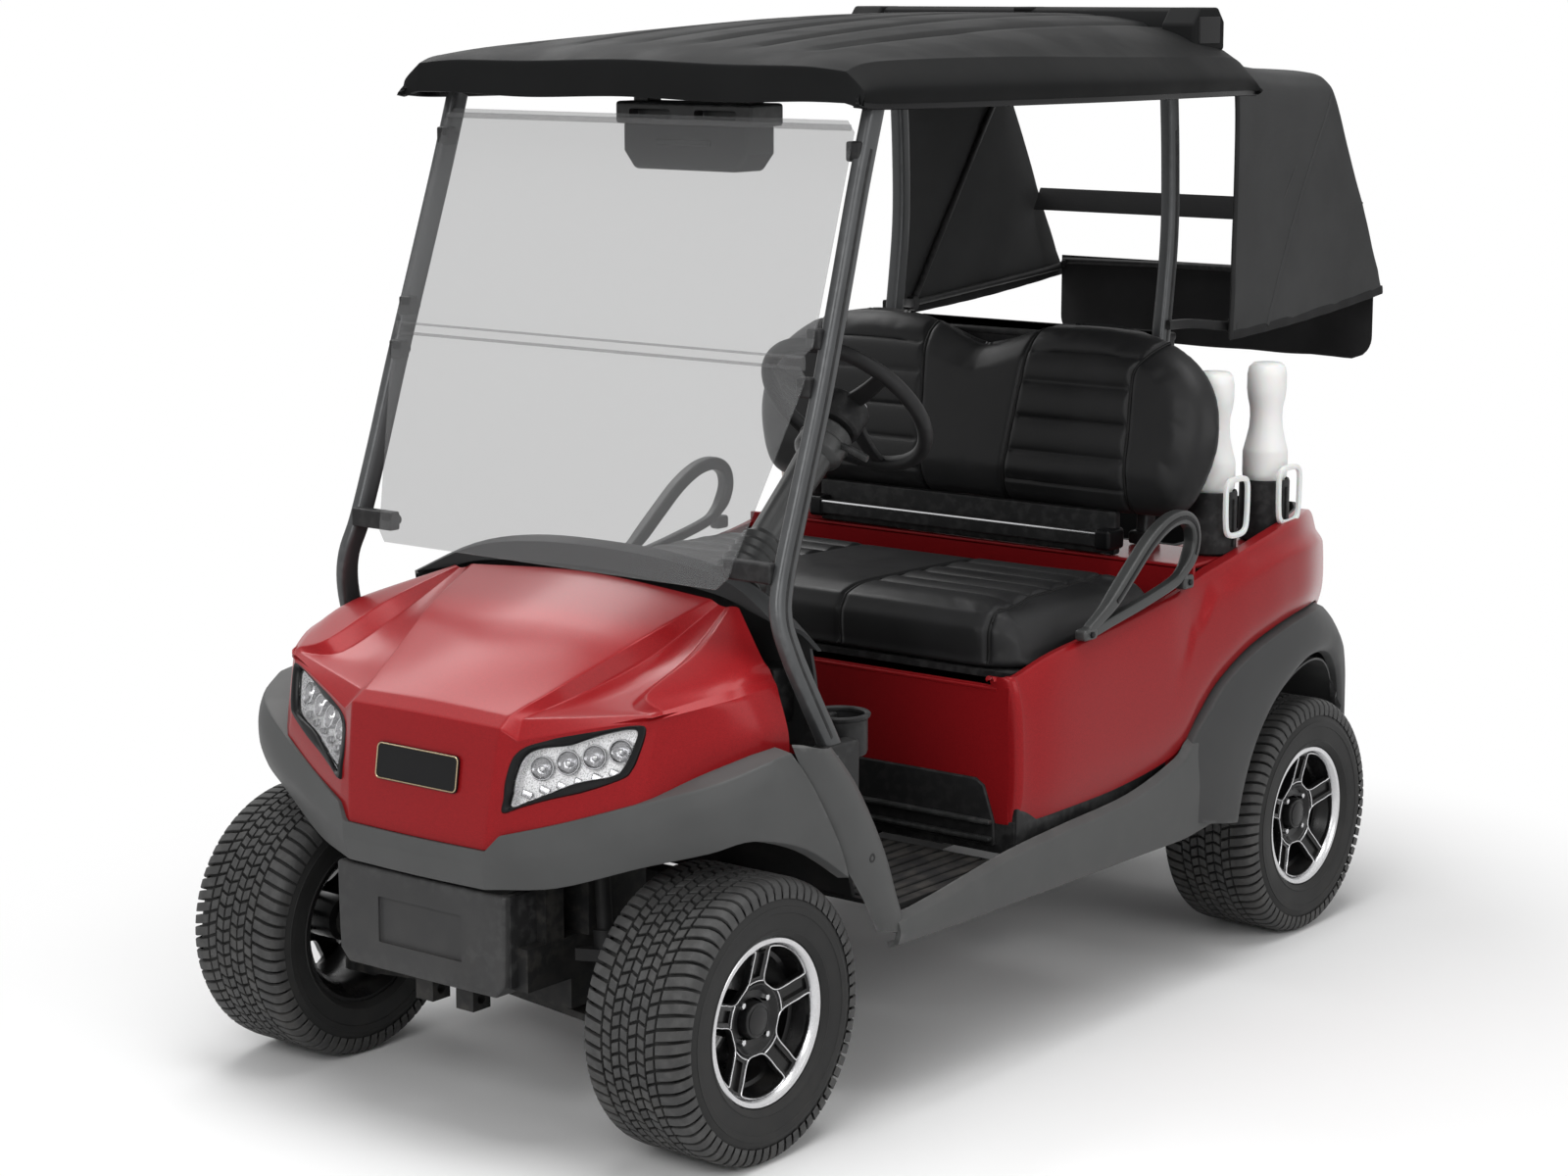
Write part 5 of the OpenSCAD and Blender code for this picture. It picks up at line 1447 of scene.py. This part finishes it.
def make_steering_wheel():
    turn = Matrix.Translation(wheel_at) @ Matrix.Rotation(-lean, 4, "Y")
    grips = [min(1.02, 1 + 0.1 * math.exp(-((k % 48 - 12) / 4) ** 2)) for k in range(wheel_steps)]
    rim = swept(circle(wheel_r, 0, wheel_steps), oblong(12.6, 12.6, 0.9, 20), (0, 0, 1), loop=True,
                sizes=grips)
    grooves = [swept(circle(wheel_r + s * 2, 12.4, wheel_steps), oblong(1.2, 0.9, 1, 6), (0, 0, 1), loop=True)
               for s in SIDES]
    spokes, ends = [], []
    for angle in wheel_spokes:
        a = math.radians(angle)
        out = Vector((math.cos(a), math.sin(a), 0))
        side = Vector((-math.sin(a), math.cos(a), 0))
        line = [out * r + Vector((0, 0, z)) for r, z in ((30, -5), (70, -8), (110, -7), (142, -1))]
        taper = [1.3 - 0.3 * k / 12 for k in range(13)]
        spokes.append(swept(smooth(line, 4), oblong(12.5, 5, 0.5, 16), side, sizes=taper))
        ends.append(moved(block((114, -9, -8), (133, 9, 1), 2.5, 2), Matrix.Rotation(a, 4, "Z")))
    clip = [Vector((y, x, 9)) for x, y in rounded_rectangle(30, 17, 6)]
    ends.append(swept(clip, oblong(2, 2, 1, 8), (0, 0, 1), loop=True))
    hub_shape = turned([(0, -52), (40, -52), (45, -48), (46, -10), (44, -2), (38, 2), (0, 2)], steps=40)
    cap = turned([(34, 1), (33, 3.5), (28, 5.5), (14, 7), (0, 7.2)], steps=40)
    shaft = turned([(12, -130), (12, -50)], steps=20)
    wheel = Piece("steering_wheel_rim", "steering_wheel")
    wheel.add(moved(join(rim, *grooves, *spokes, hub_shape), turn), BLACK).add(moved(cap, turn), TRIM)
    wheel.add(moved(join(shaft, *ends), turn), STEEL).done("black_plastic", "steering_wheel")


# Wheels: drawn with the axle along Y and the outside at positive Y
def polar(r, angle, across):
    a = math.radians(angle)
    return Vector((r * math.cos(a), across, r * math.sin(a)))


def round_y(profile, steps=80):
    """Turns a profile about the axle; one that starts on the axis is solid, any other is a hoop."""
    return moved(turned(profile, steps=steps, loop=profile[0][0] > 0),
                 Matrix.Rotation(math.radians(-90), 4, "X"))


spoke_count = 5
spoke_step = 360 / spoke_count


def window(k, across, grow=0.0):
    """The outline of one opening between two spokes."""
    middle = 90 + spoke_step * (k + 0.5)
    half = [(59.5, 0), (60.5, 10), (65, 17), (76, 21.5), (96, 24.5), (112, 26.5), (118.5, 25), (120, 12)]
    corners = half + [(120.3, 0)] + [(r, -a) for r, a in half[:0:-1]]
    line = ring([polar(r, middle + a, across) for r, a in corners], 3)
    centre = sum(line, Vector()) / len(line)
    return [p + (p - centre).normalized() * grow for p in line]


face_at = 66
face_slope = 0.25


def on_face(p, lift):
    """Sets a point on the sloping face of the wheel."""
    return Vector((p.x, face_at + (math.hypot(p.x, p.z) - face_at) * face_slope + lift, p.z))


def spoke_pocket(k, lift):
    """The outline of the recess along one spoke."""
    corners = [(69, -9.5), (69, 9.5), (92, 10), (116, 10.5), (117, 0), (116, -10.5), (92, -10)]
    middle = math.radians(90 + spoke_step * k)
    out = Vector((math.cos(middle), 0, math.sin(middle)))
    side = Vector((-math.sin(middle), 0, math.cos(middle)))
    return [on_face(out * r + side * a, lift) for r, a in corners]


def make_rim_shapes():
    lip = round_y([(136, 84), (136.5, 88), (134, 90), (127, 89.5), (122.5, 85), (121, 79), (123, 77),
                   (128, 80)], 96)
    dish = round_y([(122, 79), (119, 70), (116, 60), (112, 50), (114, 48), (120, 58), (126, 76)], 80)
    barrel = round_y([(112, 50), (110, 20), (108, -30), (112, -60), (124, -80), (136, -84), (136.5, -88),
                      (130, -89), (118, -78), (105, -55), (103, 0), (105, 48)], 64)
    disc = round_y([(34, 50), (60, 54), (112, 66), (122, 70), (122, 80), (112, 77), (70, 66.5), (58, 64),
                    (52, 58), (34, 56)], 80)
    windows = [closed_loft(window(k, 30), window(k, 100)) for k in range(spoke_count)]
    pockets = [closed_loft(spoke_pocket(k, -6), spoke_pocket(k, 30)) for k in range(spoke_count)]
    face = carved(disc, *windows, *pockets)
    strips = [swept([on_face(p, 0) for p in window(k, 0, 1.8)], oblong(2.3, 1.5, 0.7, 8), (0, 1, 0),
                    loop=True) for k in range(spoke_count)]
    strips += [swept([on_face(polar(63, spoke_step * k + 90 + a, 0), 0.5) for a in range(-16, 17, 4)],
                     oblong(2.2, 1.5, 0.7, 8), (0, 1, 0)) for k in range(spoke_count)]
    bowl = round_y([(50, 57), (56, 62), (58, 65.5), (55.5, 66), (52, 62), (46, 57)], 64)
    hub_cap = round_y([(0, 30), (30, 30), (30, 66), (28, 70), (22, 73), (10, 74.5), (0, 75)], 48)
    ring_mark = round_y([(22, 72.4), (23, 73.6), (24.5, 73), (24, 71)], 48)
    nut = [(6.5, 0), (6.5, 8), (5, 11), (3, 12), (0, 12)]
    outward = Matrix.Rotation(math.radians(-90), 4, "X")
    nuts = [moved(turned(nut, steps=6), Matrix.Translation(polar(42, 45 + 90 * k, 56)) @ outward)
            for k in range(4)]
    hub_shape = round_y([(0, -40), (38, -40), (38, 44), (0, 44)], 40)
    valve = moved(rod((0, 0, 0), (0, 14, 2), 2.6, 10), Matrix.Translation(polar(112, 90, 72)))
    dark = join(barrel, dish, face, bowl, hub_cap, hub_shape, ring_mark)
    return {MACHINED: join(lip, *strips), RIM_BLACK: dark, CHROME: join(*nuts), RUBBER: valve}


lug_line = [(229.5, 55), (229.5, 72.5), (228, 84.7), (223.5, 92.5), (216.8, 97.7), (206, 100)]
carcass_line = [(222.5, 0), (222.5, 66), (220, 76), (214, 86), (207, 93), (198, 98), (186.5, 101.5),
                (186.2, 102.5), (176, 102), (175, 100.8), (160, 99.5), (149, 97.5), (147, 98.6), (144, 97),
                (137, 90.5), (136.6, 82.6)]
lug_count = 68
tread_rows = [(-50.5, -36), (-32, -19), (-15, -2), (2, 15), (19, 32), (36, 50.5)]


def strip_block(line, turn, wide, slant, foot):
    """One tread block: an outer line of radius and width, carried round by its width as an angle."""
    points, faces = [], []
    for r, y in line:
        lean_by = slant * (y - line[0][1])
        for depth, ease in ((foot, -0.12), (0.9, 0), (0, 0.22)):
            for a in (ease, wide - ease):
                points.append(polar(r - depth, turn + a + lean_by, y))
    rows = len(line)
    order = (0, 2, 4, 5, 3, 1)
    for k in range(rows - 1):
        for a, b in zip(order, order[1:]):
            faces.append([k * 6 + a, k * 6 + b, (k + 1) * 6 + b, (k + 1) * 6 + a])
    faces += [list(order), [(rows - 1) * 6 + i for i in order][::-1]]
    faces += [[k * 6 + 1, k * 6, (k + 1) * 6, (k + 1) * 6 + 1] for k in range(rows - 1)]
    return points, faces


def make_tyre_shapes():
    inner_side = [(r, -y) for r, y in carcass_line[:0:-1]]
    carcass = round_y(inner_side + carcass_line + [(128, 82.6), (128, -82.6)], 132)
    step = 360 / lug_count
    blocks = []
    for k in range(lug_count):
        turn = k * step
        for side in SIDES:
            line = [(r, side * y) for r, y in lug_line]
            start = turn + (0 if side > 0 else step / 2)
            blocks.append(strip_block(line, start, step - 1.5, 0.055 * side, 8))
        for n, (a, b) in enumerate(tread_rows):
            line = [(229.4, a), (229.5, (a + b) / 2), (229.4, b)]
            slant = 0.1 if n % 2 else -0.1
            blocks.append(strip_block(line, turn + 1.7 * n, step - 1.35, slant, 7.5))
    return {RUBBER: carcass, TREAD: join(*blocks)}


def make_wheels():
    rim_shapes = make_rim_shapes()
    tyre_shapes = make_tyre_shapes()
    for corner in ("fl", "fr", "rl", "rr"):
        x = 0 if corner[0] == "f" else x_rear
        half = front_half_track if corner[0] == "f" else rear_half_track
        left = corner[1] == "l"
        turn = Matrix.Translation((x, half if left else -half, tyre_r))
        if not left:
            turn = turn @ Matrix.Rotation(math.pi, 4, "Z")
        rim = Piece("rim_" + corner + "_dressed", "wheel_" + corner)
        for material, shape in rim_shapes.items():
            rim.add(moved(shape, turn), material)
        rim.done("rim_alloy", "rim_" + corner)
        tyre = Piece("tyre_" + corner + "_tread", "wheel_" + corner)
        for material, shape in tyre_shapes.items():
            tyre.add(moved(shape, turn), material)
        tyre.done("tyre", "tyre_" + corner, sharp=30)


# Camera, light and floor
camera_at = (4.791, 3.581, 1.815)
camera_yaw = math.radians(-141.68)
camera_pitch = math.radians(-10.41)
camera_lens = 75.1


def make_camera():
    camera = bpy.data.objects.new("camera", bpy.data.cameras.new("camera"))
    camera.data.sensor_width, camera.data.lens = 36, camera_lens
    level = math.cos(camera_pitch)
    looking = Vector((math.cos(camera_yaw) * level, math.sin(camera_yaw) * level, math.sin(camera_pitch)))
    camera.location = camera_at
    camera.rotation_euler = looking.to_track_quat("-Z", "Y").to_euler()
    scene.collection.objects.link(camera)
    scene.camera = camera


def softbox(name, place_at, target, size, power):
    lamp = bpy.data.lights.new(name, "AREA")
    lamp.shape, lamp.size, lamp.size_y, lamp.energy = "RECTANGLE", size[0], size[1], power
    obj = bpy.data.objects.new(name, lamp)
    obj.location = place_at
    obj.rotation_euler = (Vector(target) - Vector(place_at)).to_track_quat("-Z", "Y").to_euler()
    scene.collection.objects.link(obj)


def seen_white(tree):
    """One for rays that show the backdrop: from the camera, in gloss and through glass."""
    rays = put(tree, "LightPath").outputs
    shown = number(tree, "MAXIMUM", rays["Is Camera Ray"], rays["Is Glossy Ray"])
    return number(tree, "MAXIMUM", shown, rays["Is Transmission Ray"])


room_glow = 0.42
floor_fade = (1.15, 1.95)


def make_studio():
    world = bpy.data.worlds.new("studio")
    scene.world = world
    world.use_nodes = True
    tree = world.node_tree
    background = tree.nodes["Background"]
    background.inputs["Color"].default_value = (1, 1, 1, 1)
    tree.links.new(spread(tree, seen_white(tree), 0.0, 1.0, room_glow, 1.0), background.inputs["Strength"])
    softbox("top_light", (0.5, 0.5, 4.0), (0, 0, 0.6), (2.8, 1.9), 105)
    softbox("back_light", (-0.6, -2.7, 3.8), (0.9, 0, 0.7), (2.2, 1.5), 62)
    softbox("front_light", (4.2, 1.2, 2.6), (0.6, 0, 0.6), (2.4, 1.6), 60)
    softbox("side_light", (0.5, 4.2, 2.2), (0, 0, 0.6), (3.0, 1.4), 40)
    floor_mesh = bmesh.new()
    bmesh.ops.create_circle(floor_mesh, cap_ends=True, segments=96, radius=24)
    data = bpy.data.meshes.new("floor")
    floor_mesh.to_mesh(data)
    floor_mesh.free()
    floor = bpy.data.objects.new("floor", data)
    scene.collection.objects.link(floor)
    pale = bpy.data.materials.new("pale_floor")
    pale.use_nodes = True
    tree = pale.node_tree
    shader = tree.nodes["Principled BSDF"]
    shader.inputs["Base Color"].default_value = (0.86, 0.86, 0.86, 1)
    shader.inputs["Roughness"].default_value = 0.9
    spot = put(tree, "NewGeometry").outputs["Position"]
    far = put(tree, "VectorMath", {0: spot}, operation="LENGTH").outputs["Value"]
    fade = number(tree, "MULTIPLY", spread(tree, far, *floor_fade), seen_white(tree))
    white = put(tree, "Emission", {"Color": (1, 1, 1, 1), "Strength": 1.0})
    blend = put(tree, "MixShader", {0: fade, 1: shader.outputs[0], 2: white.outputs[0]})
    tree.links.new(blend.outputs[0], tree.nodes["Material Output"].inputs["Surface"])
    data.materials.append(pale)


NODE_FINISHES = {
    CHASSIS: ("frame", "front_suspension", "rear_suspension", "rear_axle", "knuckle_left", "knuckle_right"),
    STEEL: ("steering_rack",), BATTERY: ("battery_pack",), GREY: ("front_bumper", "sills", "kick_plate"),
    BLACK: ("front_shield", "bag_well", "rear_bumper", "roof_console", "seat_back_frame", "seat_board",
            "steering_column", "pedals", "rear_basket", "cover_frame", "steering_wheel"),
    RED: ("front_cowl", "seat_box_front", "body_sides", "rear_deck"), DASH: ("dash",), MAT: ("floor_pan",),
    RED_LENS: ("tail_lamps",), VINYL: ("seat_back", "seat_cushion"), ARM: ("armrests",),
    STRUT: ("front_struts", "rear_struts"), PANE: ("windshield_upper", "windshield_lower"), ROOF: ("canopy",),
    CANVAS: ("bag_cover",), DARK_CANVAS: ("cover_curtain",), BOTTLE: ("sand_bottles",),
    CHROME: ("headlamps",),
    MACHINED: ("rim_fl", "rim_fr", "rim_rl", "rim_rr"), RUBBER: ("tyre_fl", "tyre_fr", "tyre_rl", "tyre_rr")}


def dress_nodes():
    for material, nodes in NODE_FINISHES.items():
        for node in nodes:
            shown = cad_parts[node]
            shown.data.materials.clear()
            shown.data.materials.append(material)


make_camera()
make_studio()
dress_nodes()
make_cowl()
make_headlamps()
make_shield()
make_bumper()
make_dash()
make_column()
make_pedals()
make_floor()
make_sills()
make_seat_box()
make_kick_plate()
make_body_sides()
make_rear_deck()
make_bag_well()
make_rear_bumper()
make_tail_lamps()
make_armrests()
make_struts()
make_panes()
make_canopy()
make_console()
make_seat_back()
make_cushion()
make_bows()
make_cover()
make_curtain()
make_bottles()
make_basket()
make_steering_wheel()
make_wheels()
